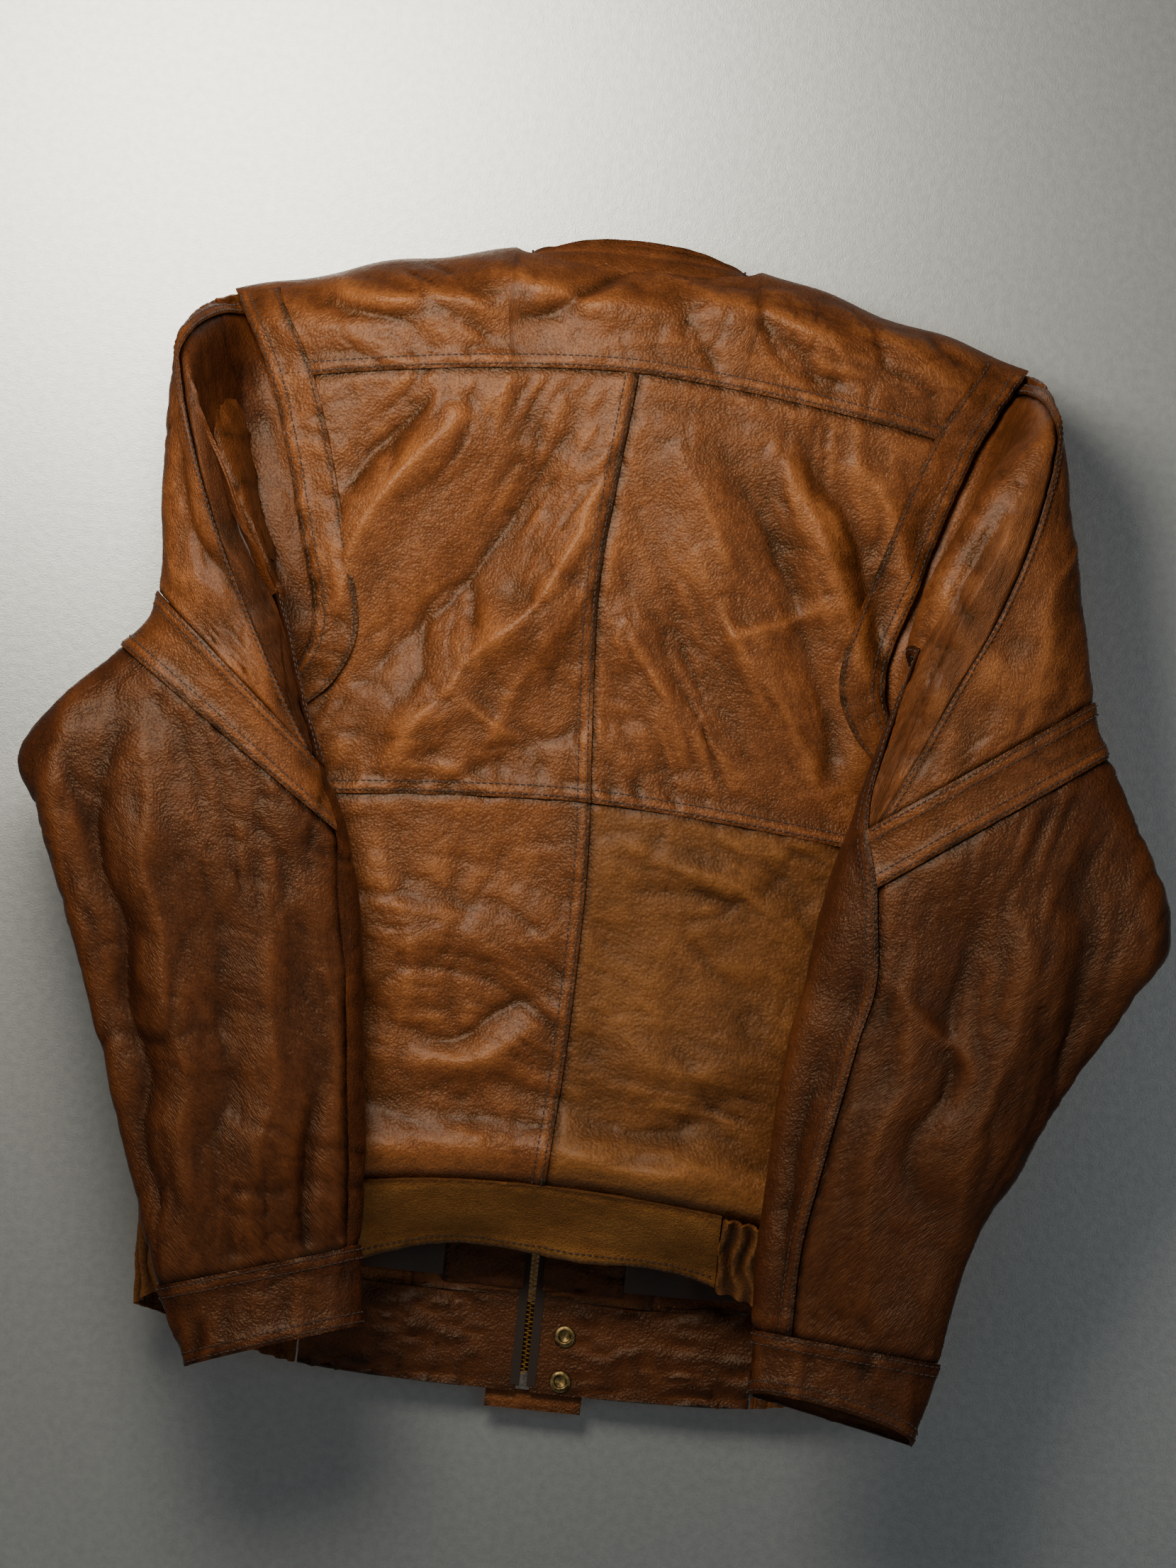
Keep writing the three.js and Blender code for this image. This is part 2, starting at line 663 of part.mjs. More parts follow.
// ---- Waist tab ----------------------------------------------------------------------------------
const tabTop = backBandZ - frontDrop - 6;
const tabHeight = bandHeight + 6;
const tabY = zipY + layerGap + 3.2;
const tabSnapX = toothReach + layerGap + tapeWidth + snapTapeGap + snapRadius;
const tabEnd = tabSnapX + snapRadius + tabMargin;
const corner = 12;
const tabShape = new THREE.Shape();
tabShape.moveTo(-tabOverlap, 0);
tabShape.lineTo(tabEnd - corner, 0);
tabShape.absarc(tabEnd - corner, -corner, corner, Math.PI / 2, 0, true);
tabShape.lineTo(tabEnd, corner - tabHeight);
tabShape.absarc(tabEnd - corner, corner - tabHeight, corner, 0, -Math.PI / 2, true);
tabShape.lineTo(-tabOverlap, -tabHeight);
tabShape.closePath();
const tab = bare(new THREE.ExtrudeGeometry(tabShape, { depth: doubled, bevelEnabled: false, curveSegments: 5 }));
tab.rotateX(Math.PI / 2);
tab.translate(0, tabY + doubled, tabTop);
add('waist_tab', tab, brownLeather);
['upper', 'lower'].forEach((level, i) => {
  const z = tabTop - tabHeight / 2 + snapSpacing * (0.5 - i);
  const cap = snapCap(snapRadius).rotateX(-Math.PI / 2);
  cap.translate(tabSnapX, tabY + doubled + layerGap, z);
  add(`waist_snap_cap_${level}`, cap, snapBrass);
  const ring = snapRing(snapRadius * 0.93).rotateX(Math.PI / 2);
  ring.translate(tabSnapX, zipY - doubled - layerGap, z);
  add(`waist_snap_back_${level}`, ring, snapBrass);
});

// ---- Pockets ------------------------------------------------------------------------------------
const pocketX = 128;
const pocketZ = backBandZ - frontDrop + pocketRise;
const pocketSlant = degToRad(24);
for (const [hand, sign] of [['left', -1], ['right', 1]]) {
  const across = vec(Math.cos(pocketSlant), 0, Math.sin(pocketSlant));
  const down = vec(Math.sin(pocketSlant), 0, -Math.cos(pocketSlant));
  const weltPoint = (a, b) => {
    const p = across.clone().multiplyScalar((a - 0.5) * weltWidth).addScaledVector(down, (b - 0.5) * pocketLength);
    return bodyPoint(1, sign * (pocketX + p.x), pocketZ + p.z, -(leather + layerGap));
  };
  add(
    `pocket_welt_${hand}`,
    sheet(weltPoint, { columns: 2, rows: 6, thick: leather, away: fromBodyAxis }),
    brownLeather,
  );
  const bagPoint = (a, b) => {
    const x = lerp(pocketX - 45, pocketX + 40, a);
    const z = lerp(pocketZ + pocketLength * 0.3, pocketZ - pocketLength * 0.62, b);
    return bodyPoint(1, sign * x, z, leather + layerGap);
  };
  add(
    `pocket_bag_${hand}`,
    sheet(bagPoint, { columns: 4, rows: 5, thick: 2, away: fromBodyAxis }),
    liningSatin,
  );
}

// ---- Sleeves ------------------------------------------------------------------------------------
/** One sleeve's section at station v, any number from 0 to the last: its edges, middle and half sizes. */
function sleeveSection(hand, v) {
  const stations = sleeveStations[hand];
  const sign = hand === 'left' ? -1 : 1;
  const value = (pick) => through(stations.map((s, i) => [i, pick(s)]))(v);
  const outX = (k) => sign * (shoulderHalf + sleeveScale * k);
  const outZ = (k) => neckZ - shoulderSlope + sleeveScale * k;
  const outer = vec(outX(value((s) => s.outer[0])), sleeveY, outZ(value((s) => s.outer[1])));
  const inner = vec(outX(value((s) => s.inner[0])), sleeveY, outZ(value((s) => s.inner[1])));
  return {
    middle: outer.clone().add(inner).multiplyScalar(0.5),
    reach: outer.clone().sub(inner).multiplyScalar(0.5),
    deep: value((s) => s.deep) * sleeveFullness,
  };
}

/** How much further an inset has to go along a section that crosses the sleeve at a slant. */
function slant(hand, v) {
  const here = sleeveSection(hand, Math.max(v - 0.1, 0));
  const next = sleeveSection(hand, Math.min(v + 0.1, cuffEdge));
  const edge = next.middle.clone().sub(next.reach).sub(here.middle).add(here.reach).normalize();
  const across = here.reach.clone().normalize();
  return 1 / Math.max(0.2, across.cross(edge).length());
}

/** A point on a sleeve: degrees run from the outer edge (0) over the back (90) to the inner edge (180). */
function sleevePoint(hand, degrees, v, inset = 0) {
  const { middle, reach, deep } = sleeveSection(hand, v);
  const round = (k) => Math.sign(k) * Math.abs(k) ** 0.85;
  const angle = degToRad(degrees);
  const half = reach.length();
  const shrink = inset ? inset * slant(hand, v) : 0;
  return middle
    .clone()
    .addScaledVector(reach, ((half - shrink) / half) * round(Math.cos(angle)))
    .add(vec(0, -(deep - inset) * round(Math.sin(angle)), 0));
}

/** Adds a piece of a sleeve between two stations and two directions, which may change along it. */
function sleevePiece(name, hand, { from, to, start, end, inset = 0, gap = seamGap, ...options }) {
  const sectionAt = (v) => sleeveSection(hand, v);
  const stepOf = (v) => {
    const next = sectionAt(Math.min(v + 0.05, cuffEdge)).middle;
    const here = sectionAt(Math.max(v - 0.05, 0)).middle;
    return gap / (next.distanceTo(here) * 10);
  };
  const turn = (v) => (gap * 360) / (Math.PI * 2 * sectionAt(v).deep);
  const fn = (a, b) => {
    const v = lerp(from + stepOf(from), to - stepOf(to), b);
    return sleevePoint(hand, lerp(start(v) + turn(v), end(v) - turn(v), a), v, inset);
  };
  const away = (p) => {
    let best = sectionAt(from).middle;
    for (let k = 0; k <= 8; k += 1) {
      const middle = sectionAt(lerp(from, to, k / 8)).middle;
      if (middle.distanceTo(p) < best.distanceTo(p)) best = middle;
    }
    return p.clone().sub(best).multiply(vec(0.4, 4, 0.4));
  };
  add(name, sheet(fn, { columns: 12, rows: 4, thick: leather, away, ...options }), options.finish ?? brownLeather);
}

/** The seam down the upper sleeve, from the sleeve head on the outside to the inner end of the band. */
const longSeam = (v) => lerp(24, underStart - 8, THREE.MathUtils.clamp(v / bandTop, 0, 1) ** 0.9);
const wrap = underEnd - 360;

for (const [hand, sign] of [['left', -1], ['right', 1]]) {
  // Between the armhole and the first section of the sleeve.
  const armholeRing = (degrees) => {
    const k = (1 - Math.cos(degToRad(degrees))) / 2;
    const z = lerp(neckZ - shoulderSlope - 2, armholeZ + 2, k);
    const side = Math.sin(degToRad(degrees)) > 0 ? -1 : 1;
    const edge = armholeEdge(z);
    const y = bodyPoint(side, edge, z, 1).y * Math.abs(Math.sin(degToRad(degrees))) ** 0.3;
    return vec(sign * (edge + 2.5), y, z);
  };
  const headPoint = (a, b) => {
    const degrees = lerp(-176, 176, a);
    const sleeve = sleevePoint(hand, degrees, 0);
    const hole = armholeRing(degrees);
    const bulge = vec(sign * 10 * Math.sin(Math.PI * b), 0, 0);
    const reach = lerp(0.86, 0.35, (1 - Math.cos(degToRad(degrees))) / 2);
    return hole.lerp(sleeve, b * reach).add(bulge);
  };
  add(
    `sleeve_head_${hand}`,
    sheet(headPoint, {
      columns: 18,
      rows: 3,
      thick: leather,
      away: (p) => vec(sign * (Math.abs(p.x) - 225), p.y + 30, p.z + 165),
    }),
    darkLeather,
  );
  sleevePiece(`sleeve_top_outer_${hand}`, hand, {
    from: 0,
    to: bandTop,
    start: () => wrap,
    end: longSeam,
    columns: 12,
    rows: 5,
  });
  sleevePiece(`sleeve_top_inner_${hand}`, hand, {
    from: 0,
    to: bandTop,
    start: longSeam,
    end: () => underStart,
    columns: 5,
    rows: 5,
  });
  sleevePiece(`elbow_band_${hand}`, hand, {
    from: bandTop,
    to: bandBottom,
    start: () => wrap,
    end: () => underStart,
    columns: 16,
    rows: 2,
  });
  sleevePiece(`forearm_${hand}`, hand, {
    from: bandBottom,
    to: cuffSeam,
    start: () => wrap,
    end: () => underStart,
    columns: 14,
    rows: 8,
  });
  sleevePiece(`under_sleeve_${hand}`, hand, {
    from: 0,
    to: cuffSeam,
    start: () => underStart,
    end: () => underEnd,
    columns: 4,
    rows: 12,
    finish: darkLeather,
  });
  sleevePiece(`cuff_${hand}`, hand, {
    from: cuffSeam,
    to: cuffEdge,
    start: () => 200 - 360,
    end: () => 198,
    columns: 24,
    rows: 2,
    thick: doubled,
    finish: darkLeather,
  });
  sleevePiece(`sleeve_lining_${hand}`, hand, {
    from: 0.3,
    to: cuffSeam + 0.25,
    start: () => -176,
    end: () => 176,
    inset: doubled + leather + liningInset / 2,
    columns: 14,
    rows: 9,
    thick: satin,
    finish: liningSatin,
  });
  const tabStart = 200;
  sleevePiece(`cuff_tab_${hand}`, hand, {
    from: cuffSeam + 0.2,
    to: cuffSeam + 0.85,
    start: () => tabStart,
    end: () => tabStart + cuffTabSpan,
    inset: -(leather + layerGap),
    columns: 6,
    rows: 2,
    finish: darkLeather,
  });
  const seat = cuffSeam + 0.52;
  const snapAt = tabStart + cuffTabSpan * 0.3;
  const fn = (a, b) =>
    sleevePoint(hand, lerp(snapAt - 8, snapAt + 8, a), lerp(seat - 0.1, seat + 0.1, b), -(leather + layerGap));
  const away = () => vec(0, 1, 0);
  const normal = normalAt(fn, 0.5, 0.5, away);
  const cap = snapCap(snapRadius * 0.85);
  cap.applyQuaternion(new THREE.Quaternion().setFromUnitVectors(vec(0, 0, 1), normal));
  const place = fn(0.5, 0.5).addScaledVector(normal, layerGap + 0.8);
  cap.translate(place.x, place.y, place.z);
  add(`cuff_snap_cap_${hand}`, cap, snapBrass);
}

export default jacket;
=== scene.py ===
"""A leather riding jacket with a blouson waist, hanging by its neck loop with its back to the viewer.

Places are worked out in millimetres on the jacket's own grid (+X the wearer's right, -Y the back,
+Z up) and become metres in the frame when a mesh is made.
"""
import math
from collections import namedtuple

import bpy
import numpy as np
from mathutils import Matrix, Vector


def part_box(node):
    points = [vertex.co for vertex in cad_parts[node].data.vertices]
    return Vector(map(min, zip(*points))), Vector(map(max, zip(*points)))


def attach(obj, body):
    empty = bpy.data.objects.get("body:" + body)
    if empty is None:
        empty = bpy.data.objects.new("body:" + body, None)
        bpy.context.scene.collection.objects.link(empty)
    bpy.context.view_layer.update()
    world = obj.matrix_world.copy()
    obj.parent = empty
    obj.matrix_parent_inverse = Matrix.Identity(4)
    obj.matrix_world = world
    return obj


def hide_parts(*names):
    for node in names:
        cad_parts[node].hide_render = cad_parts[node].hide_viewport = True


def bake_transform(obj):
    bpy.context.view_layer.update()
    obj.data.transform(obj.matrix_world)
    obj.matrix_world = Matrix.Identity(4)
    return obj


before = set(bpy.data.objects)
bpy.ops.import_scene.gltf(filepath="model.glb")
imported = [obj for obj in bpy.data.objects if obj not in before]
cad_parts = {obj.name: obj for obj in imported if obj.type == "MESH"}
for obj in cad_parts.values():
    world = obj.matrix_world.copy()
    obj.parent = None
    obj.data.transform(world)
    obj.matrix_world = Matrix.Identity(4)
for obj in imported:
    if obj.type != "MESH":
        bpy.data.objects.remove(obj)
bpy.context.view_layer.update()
scene = bpy.context.scene
bpy.ops.object.select_all(action="DESELECT")

# ---- Sizes, in millimetres -------------------------------------------------------------------------
LEATHER = 1.3
DOUBLED = 2.6
SATIN = 0.7
CENTRE_Y = 28.0  # the jacket's middle plane, in front of the hanger loop
RISE_Z = 16.0  # heights are from a level this far above the loop's top

SHOULDER_HALF = 262.0
SHOULDER_SLOPE = 46.0
NECK_HALF = 80.0
NECK_Z = -4.0
NECK_DROP_BACK = 8.0
NECK_DROP_FRONT = 70.0
HEM_HALF = 262.0
CHEST_HALF = 240.0
BODY_DEPTH = 50.0
SHOULDER_ROUND = 42.0
FLATNESS = 3.0
YOKE_Z = -80.0
YOKE_FALL = 34.0
WAIST_Z = -362.0
WAIST_FALL = 20.0
ARMHOLE_Z = -332.0
ACROSS_HALF = 188.0
FLANGE_WIDTH = 30.0
BAND_Z = -616.0
BAND_HEIGHT = 66.0
BAND_TUCK = 50.0
FRONT_DROP = 72.0
BACK_BAND_HALF = 118.0
FRONT_BAND_HALF = 150.0
ZIP_HALF = 5.0
TAPE_WIDTH = 12.0
FACING_WIDTH = 55.0
SNAP_RADIUS = 7.5
SNAP_SPACING = 30.0
TOOTH_PITCH = 3.0
STITCH_PITCH = 4.2
STITCH_LENGTH = 3.0
STITCH_LIFT = 0.25
THREAD_RADIUS = 0.5
MOST_STITCHES = 4500  # in one mesh
STITCH_ROWS = (2.6, 8.6)  # from a seam to its two rows of stitches
STEP = 2.6  # spacing of the points on the leather

# Sections across each sleeve, from the outer edge to the inner one, out and up from the shoulder
# point, with half the thickness of the sleeve there.
STATIONS = {
    "left": [
        ((30, -46), (-56, -206), 24),
        ((32, -112), (-74, -258), 28),
        ((27, -204), (-94, -308), 30),
        ((46, -242), (-115, -354), 30),
        ((104, -313), (-124, -394), 30),
        ((82, -366), (-134, -445), 29),
        ((38, -486), (-142, -530), 26),
        ((0, -594), (-147, -590), 22),
        ((-20, -652), (-148, -612), 19),
        ((-44, -702), (-154, -664), 20),
    ],
    "right": [
        ((22, -40), (-60, -200), 24),
        ((40, -118), (-78, -262), 28),
        ((61, -213), (-94, -322), 30),
        ((74, -248), (-102, -372), 30),
        ((124, -352), (-108, -420), 30),
        ((104, -402), (-114, -466), 29),
        ((58, -492), (-119, -540), 26),
        ((20, -574), (-120, -590), 22),
        ((5, -650), (-117, -640), 19),
        ((-6, -706), (-117, -684), 20),
    ],
}
SLEEVE_Y = -94.0
BAND_TOP, BAND_BOTTOM, CUFF_SEAM, CUFF_EDGE = 2, 3, 8, 9
UNDER_END = 232.0  # degrees round the sleeve, from its outer edge over the back
HEAD_REACH = {"left": -12.0, "right": 52.0}  # how far each sleeve lies in over its armhole
HANDS = (("left", -1), ("right", 1))
INNER_OUTER = {"left": ("right", "left"), "right": ("left", "right")}  # a panel's edges on each side
FOLD_GAIN = 1.15

# The large folds: where each runs, its half width and how far it stands out.
BACK_FOLDS = [
    ([(-9, -127), (-18, -189), (-64, -255), (-107, -311), (-131, -357)], 16, 9),
    ([(-47, -131), (-70, -200), (-115, -261), (-161, -306)], 18, -8),
    ([(-96, -105), (-136, -155), (-166, -210), (-176, -267)], 14, 7),
    ([(-121, -103), (-158, -142), (-179, -185)], 9, -5),
    ([(11, -196), (-34, -252), (-59, -306), (-94, -361)], 10, 4),
    ([(-85, -298), (-58, -321)], 4, 2),
    ([(-117, -343), (-74, -364)], 4, 2),
    ([(29, -123), (59, -165), (80, -220)], 12, 4),
    ([(95, -116), (131, -163), (158, -227), (179, -281)], 12, 7),
    ([(115, -113), (157, -171), (179, -230), (194, -279)], 9, -6),
    ([(156, -109), (187, -167), (206, -227)], 10, 5),
    ([(72, -139), (107, -186), (134, -245), (156, -309), (167, -338)], 8, -5),
    ([(47, -192), (94, -254), (136, -311)], 14, 5),
    ([(15, -237), (52, -294), (104, -345)], 14, 3),
    ([(69, -257), (118, -236), (167, -221)], 6, 2.5),
    ([(-206, -30), (-169, -44), (-127, -49), (-87, -40)], 8, 4),
    ([(-212, -45), (-167, -59), (-116, -56)], 7, -3),
    ([(-130, -22), (-84, -22), (-26, -34), (21, -42)], 7, 3),
    ([(-86, -53), (-56, -44), (-37, -27), (-8, -9), (22, -3)], 5, -3.5),
    ([(-19, -5), (28, -15), (75, -28), (123, -46), (158, -78)], 8, 4),
    ([(59, -22), (103, -48), (148, -90)], 6, -3),
    ([(121, -21), (175, -46), (229, -81)], 10, 4),
    ([(-129, -472), (-85, -452), (-33, -457), (0, -433)], 12, 3),
    ([(-118, -522), (-77, -523), (-48, -504), (-14, -490)], 7, -4),
    ([(-106, -541), (-55, -536), (-7, -510)], 10, 4),
    ([(-136, -406), (-104, -464), (-107, -531)], 12, 3),
    ([(-71, -389), (-76, -441)], 8, -2),
    ([(26, -389), (58, -401), (100, -407), (138, -428)], 8, 2.5),
    ([(43, -397), (86, -419), (112, -421)], 4, -1.5),
    ([(23, -502), (77, -527), (126, -512)], 22, 4),
    ([(20, -569), (76, -568), (119, -543)], 10, -2.5),
    ([(12, -595), (64, -600), (114, -590)], 12, 4),
]
SLEEVE_FOLDS = {
    "left": [
        ([(-282, -89), (-275, -149), (-253, -214), (-216, -271), (-186, -319)], 12, 5),
        ([(-254, -152), (-229, -196), (-203, -249)], 7, -5),
        ([(-293, -177), (-290, -228), (-274, -257)], 10, 4),
        ([(-287, -156), (-268, -215), (-231, -273)], 6, -3),
        ([(-331, -299), (-342, -366), (-332, -437), (-301, -536), (-276, -625)], 12, 7),
        ([(-307, -332), (-309, -409), (-283, -509), (-258, -608), (-245, -684)], 9, -7),
        ([(-279, -360), (-269, -456), (-243, -555), (-224, -656)], 13, 6),
        ([(-237, -417), (-223, -502), (-210, -603), (-199, -679)], 11, -4),
        ([(-205, -424), (-187, -524), (-184, -626), (-184, -677)], 14, 5),
        ([(-158, -562), (-155, -623), (-145, -678)], 5, -6),
        ([(-155, -444), (-141, -545), (-133, -646)], 10, 4),
        ([(-351, -352), (-327, -385), (-307, -434)], 7, -3),
        ([(-246, -92), (-240, -150), (-224, -215), (-204, -275)], 13, -13),
    ],
    "right": [
        ([(272, -97), (253, -160), (229, -224), (216, -292)], 14, 5),
        ([(255, -130), (230, -188), (217, -251)], 6, -3),
        ([(297, -135), (293, -197), (288, -249), (258, -303)], 12, 4),
        ([(352, -319), (374, -383), (367, -466), (345, -545)], 12, 5),
        ([(330, -357), (329, -444), (317, -522), (300, -606)], 9, -5),
        ([(282, -388), (296, -473), (274, -552), (262, -630)], 14, 6),
        ([(259, -416), (256, -477), (242, -540), (234, -613)], 8, -4.5),
        ([(220, -430), (223, -506), (211, -585), (214, -661)], 12, 4),
        ([(186, -449), (170, -538), (158, -621), (154, -683)], 8, -4),
        ([(168, -425), (151, -504), (144, -581)], 10, 4),
        ([(191, -448), (247, -489), (276, -526)], 5, 2.5),
    ],
}

# ---- Curves ----------------------------------------------------------------------------------------


def through(points):
    """A smooth curve y(x) through points in rising x; y may be a number or a point."""
    px = np.array([p[0] for p in points], float)
    py = np.array([p[1] for p in points], float)
    wide = (slice(None),) + (None,) * (py.ndim - 1)
    gaps = (px[2:] - px[:-2])[wide]
    ends = (py[1] - py[0]) / (px[1] - px[0]), (py[-1] - py[-2]) / (px[-1] - px[-2])
    slope = np.concatenate([[ends[0]], (py[2:] - py[:-2]) / gaps, [ends[1]]])

    def curve(x):
        x = np.clip(np.asarray(x, float), px[0], px[-1])
        i = np.clip(np.searchsorted(px, x, "right") - 1, 0, len(px) - 2)
        width = px[i + 1] - px[i]
        t = (x - px[i]) / width
        if py.ndim > 1:
            t, width = t[..., None], width[..., None]
        return (
            (2 * t**3 - 3 * t**2 + 1) * py[i]
            + (t**3 - 2 * t**2 + t) * width * slope[i]
            + (3 * t**2 - 2 * t**3) * py[i + 1]
            + (t**3 - t**2) * width * slope[i + 1]
        )

    return curve


def lerp(a, b, t):
    return a + (b - a) * t


def smoothstep(low, high, x):
    t = np.clip((x - low) / (high - low), 0, 1)
    return t * t * (3 - 2 * t)


def unit(v):
    return v / np.maximum(np.linalg.norm(v, axis=-1, keepdims=True), 1e-9)


def steady(value):
    """A limit that stays the same all the way."""
    return lambda along: value + 0 * along


def sides(sign, inner, outer):
    """The left and right limits of a panel whose edges lie this far from the middle."""
    if sign > 0:
        return inner, outer
    return (lambda z: -outer(z)), (lambda z: -inner(z))


# ---- The body --------------------------------------------------------------------------------------
body_half = through(
    [
        (BAND_Z - FRONT_DROP - BAND_HEIGHT, HEM_HALF), (BAND_Z, HEM_HALF), (ARMHOLE_Z, CHEST_HALF),
        (NECK_Z - SHOULDER_SLOPE, SHOULDER_HALF + 6), (NECK_Z, SHOULDER_HALF + 6),
    ]
)
armhole_edge = through(
    [
        (ARMHOLE_Z, CHEST_HALF - 4), (ARMHOLE_Z + 30, ACROSS_HALF + 14), (ARMHOLE_Z + 68, ACROSS_HALF),
        (ARMHOLE_Z + 127, ACROSS_HALF + 14), (NECK_Z - SHOULDER_SLOPE - 58, SHOULDER_HALF - 30),
        (NECK_Z - SHOULDER_SLOPE, SHOULDER_HALF),
    ]
)
# How far the centre back seam wanders to the side as it goes down.
centre_seam = through([(-616, 1), (-520, 6), (-400, 7), (-300, 0), (-220, -4), (-150, 1), (-85, 7)])
front_band_top_right = through(
    [(0, BAND_Z - FRONT_DROP), (FRONT_BAND_HALF, BAND_Z - FRONT_DROP + 4), (HEM_HALF, BAND_Z - 38)]
)


def shoulder_line(x):
    out = np.maximum(0, np.abs(x) - NECK_HALF) / (SHOULDER_HALF - NECK_HALF)
    dents = 2.2 * np.sin(np.pi * np.clip(out, 0, 1)) * np.sin(x / 15)
    return NECK_Z - SHOULDER_SLOPE * out**1.1 + dents


def body_point(side, x, z, inset=0.0):
    """Points on the body: side -1 is the back and 1 the front; inset is how far inside they lie."""
    x, z = np.broadcast_arrays(np.asarray(x, float), np.asarray(z, float))
    half = body_half(z) - inset
    across = np.maximum(0, 1 - np.abs(x / half) ** FLATNESS) ** (1 / FLATNESS)
    below = np.maximum(0, shoulder_line(x) - inset - z)
    up = np.maximum(0, 1 - below / SHOULDER_ROUND)
    y = side * (0.4 + (BODY_DEPTH - inset) * across * np.sqrt(1 - up**2))
    return np.stack([x, y, z], -1)


def neck_depth(x, drop):
    return drop * np.sqrt(np.maximum(0, 1 - (x / NECK_HALF) ** 2))


def back_neck(x):
    return shoulder_line(x) - neck_depth(x, NECK_DROP_BACK)


def front_neck(x):
    return shoulder_line(x) - neck_depth(x, NECK_DROP_FRONT)


def yoke_seam(x):
    return YOKE_Z - YOKE_FALL * (np.abs(x) / SHOULDER_HALF) ** 1.6


def waist_seam(x):
    return WAIST_Z - WAIST_FALL * (np.abs(x) / CHEST_HALF) ** 1.5


def back_band_top(x):
    return BAND_Z - 38 * (np.abs(x) / HEM_HALF) ** 2


def front_band_top(x):
    return front_band_top_right(np.abs(x))


def body_edge(z):
    return np.where(z > ARMHOLE_Z, armhole_edge(z), body_half(z))


# A patch is a grid of points (rows, columns, 3) with the sign that turns its normals outwards.
Patch = namedtuple("Patch", "grid turn")


def even_grid(at, step):
    """at(a, b) on shares a and b that put the points about a step apart both ways."""
    shares = np.linspace(0, 1, 161)
    dense = at(shares[None, :], shares[:, None])

    def spread(axis):
        lengths = np.linalg.norm(np.diff(dense, axis=axis), axis=-1).mean(axis=1 - axis)
        so_far = np.concatenate([[0], np.cumsum(lengths)])
        count = max(4, int(round(so_far[-1] / step)) + 1)
        return np.interp(np.linspace(0, so_far[-1], count), so_far, shares)

    return at(spread(1)[None, :], spread(0)[:, None])


def body_patch(side, left, right, top, bottom, step=STEP, inset=0.0):
    """Part of the body between the widths left(z) and right(z) and the heights top(x) and bottom(x)."""

    def at(a, b):
        z = lerp(top(np.zeros_like(a)), bottom(np.zeros_like(a)), b)
        for _ in range(5):
            x = lerp(left(z), right(z), a)
            z = lerp(top(x), bottom(x), b)
        return body_point(side, x, z, inset)

    return Patch(even_grid(at, step), side)


# ---- The sleeves -----------------------------------------------------------------------------------


def station_curves(hand, sign):
    rows = STATIONS[hand]
    top = NECK_Z - SHOULDER_SLOPE
    places = [
        [(sign * (SHOULDER_HALF + edge[0]), SLEEVE_Y, top + edge[1]) for edge in (outer, inner)]
        for outer, inner, _ in rows
    ]
    return {
        "outer": through([(i, p[0]) for i, p in enumerate(places)]),
        "inner": through([(i, p[1]) for i, p in enumerate(places)]),
        "deep": through([(i, row[2]) for i, row in enumerate(rows)]),
    }


SLEEVES = {hand: station_curves(hand, sign) for hand, sign in HANDS}


def sleeve_point(hand, degrees, v, inset=0.0):
    """Points round a sleeve at station v: 0 degrees is its outer edge, 90 its back, 180 its inner edge."""
    degrees, v = np.broadcast_arrays(np.asarray(degrees, float), np.asarray(v, float))
    curves = SLEEVES[hand]
    outer, inner, deep = curves["outer"](v), curves["inner"](v), curves["deep"](v)
    middle, reach = (outer + inner) / 2, (outer - inner) / 2
    half = np.linalg.norm(reach, axis=-1)
    edge = unit(curves["outer"](np.minimum(v + 0.1, CUFF_EDGE)) - curves["outer"](np.maximum(v - 0.1, 0)))
    slant = 1 / np.maximum(0.3, np.linalg.norm(np.cross(unit(reach), edge), axis=-1))
    angle = np.radians(degrees)

    def flat(k):
        return np.sign(k) * np.abs(k) ** 0.85

    share = (half - inset * slant) / half * flat(np.cos(angle))
    point = middle + reach * share[..., None]
    point[..., 1] -= (deep - inset) * flat(np.sin(angle))
    return point


def armhole_ring(sign, degrees):
    angle = np.radians(degrees)
    z = lerp(NECK_Z - SHOULDER_SLOPE - 2, ARMHOLE_Z + 2, (1 - np.cos(angle)) / 2)
    edge = armhole_edge(z)
    depth = np.abs(body_point(1, edge, z, 5)[..., 1]) * np.abs(np.sin(angle)) ** 0.3
    return np.stack([sign * (edge - 5), -np.sign(np.sin(angle)) * depth, z - 3], -1)


def sleeve_surface(hand, degrees, v, inset=0.0):
    """The sleeve from v = -1, where it is sewn into the armhole, to its cuff."""
    degrees, v = np.broadcast_arrays(np.asarray(degrees, float), np.asarray(v, float))
    point = sleeve_point(hand, degrees, np.maximum(v, 0), inset)
    if v.min() >= 0:
        return point
    sign = -1 if hand == "left" else 1
    hole = armhole_ring(sign, degrees)
    start = sleeve_point(hand, degrees, 0 * v, inset)
    axis = unit(start - sleeve_point(hand, degrees, 0 * v + 0.2, inset))
    before, after = (sleeve_point(hand, degrees + k, 0 * v, inset) for k in (-4, 4))
    around = unit(after - before)
    # On the back the sleeve reaches in over the armhole, and then folds under itself to its seam.
    over = smoothstep(25, 75, degrees) * (1 - smoothstep(150, 185, degrees))
    inward = np.array((-sign, 0.0, 0.0))
    normal = np.cross(axis, around)
    inward = inward - normal * (normal @ inward)[..., None]
    reach = HEAD_REACH[hand] * over
    drop = -11 * (1 - over) * np.sin(np.radians(degrees))
    leave = np.stack([sign * (13 + 40 * over), drop, 3 + 0 * over], -1)
    t = np.clip(v + 1, 0, 1)[..., None]
    head = (
        (1 - t) ** 3 * hole
        + 3 * (1 - t) ** 2 * t * (hole + leave)
        + 3 * (1 - t) * t**2 * (start + axis * (26 - 10 * over)[..., None] + inward * reach[..., None])
        + t**3 * start
    )
    return np.where(v[..., None] < 0, head, point)


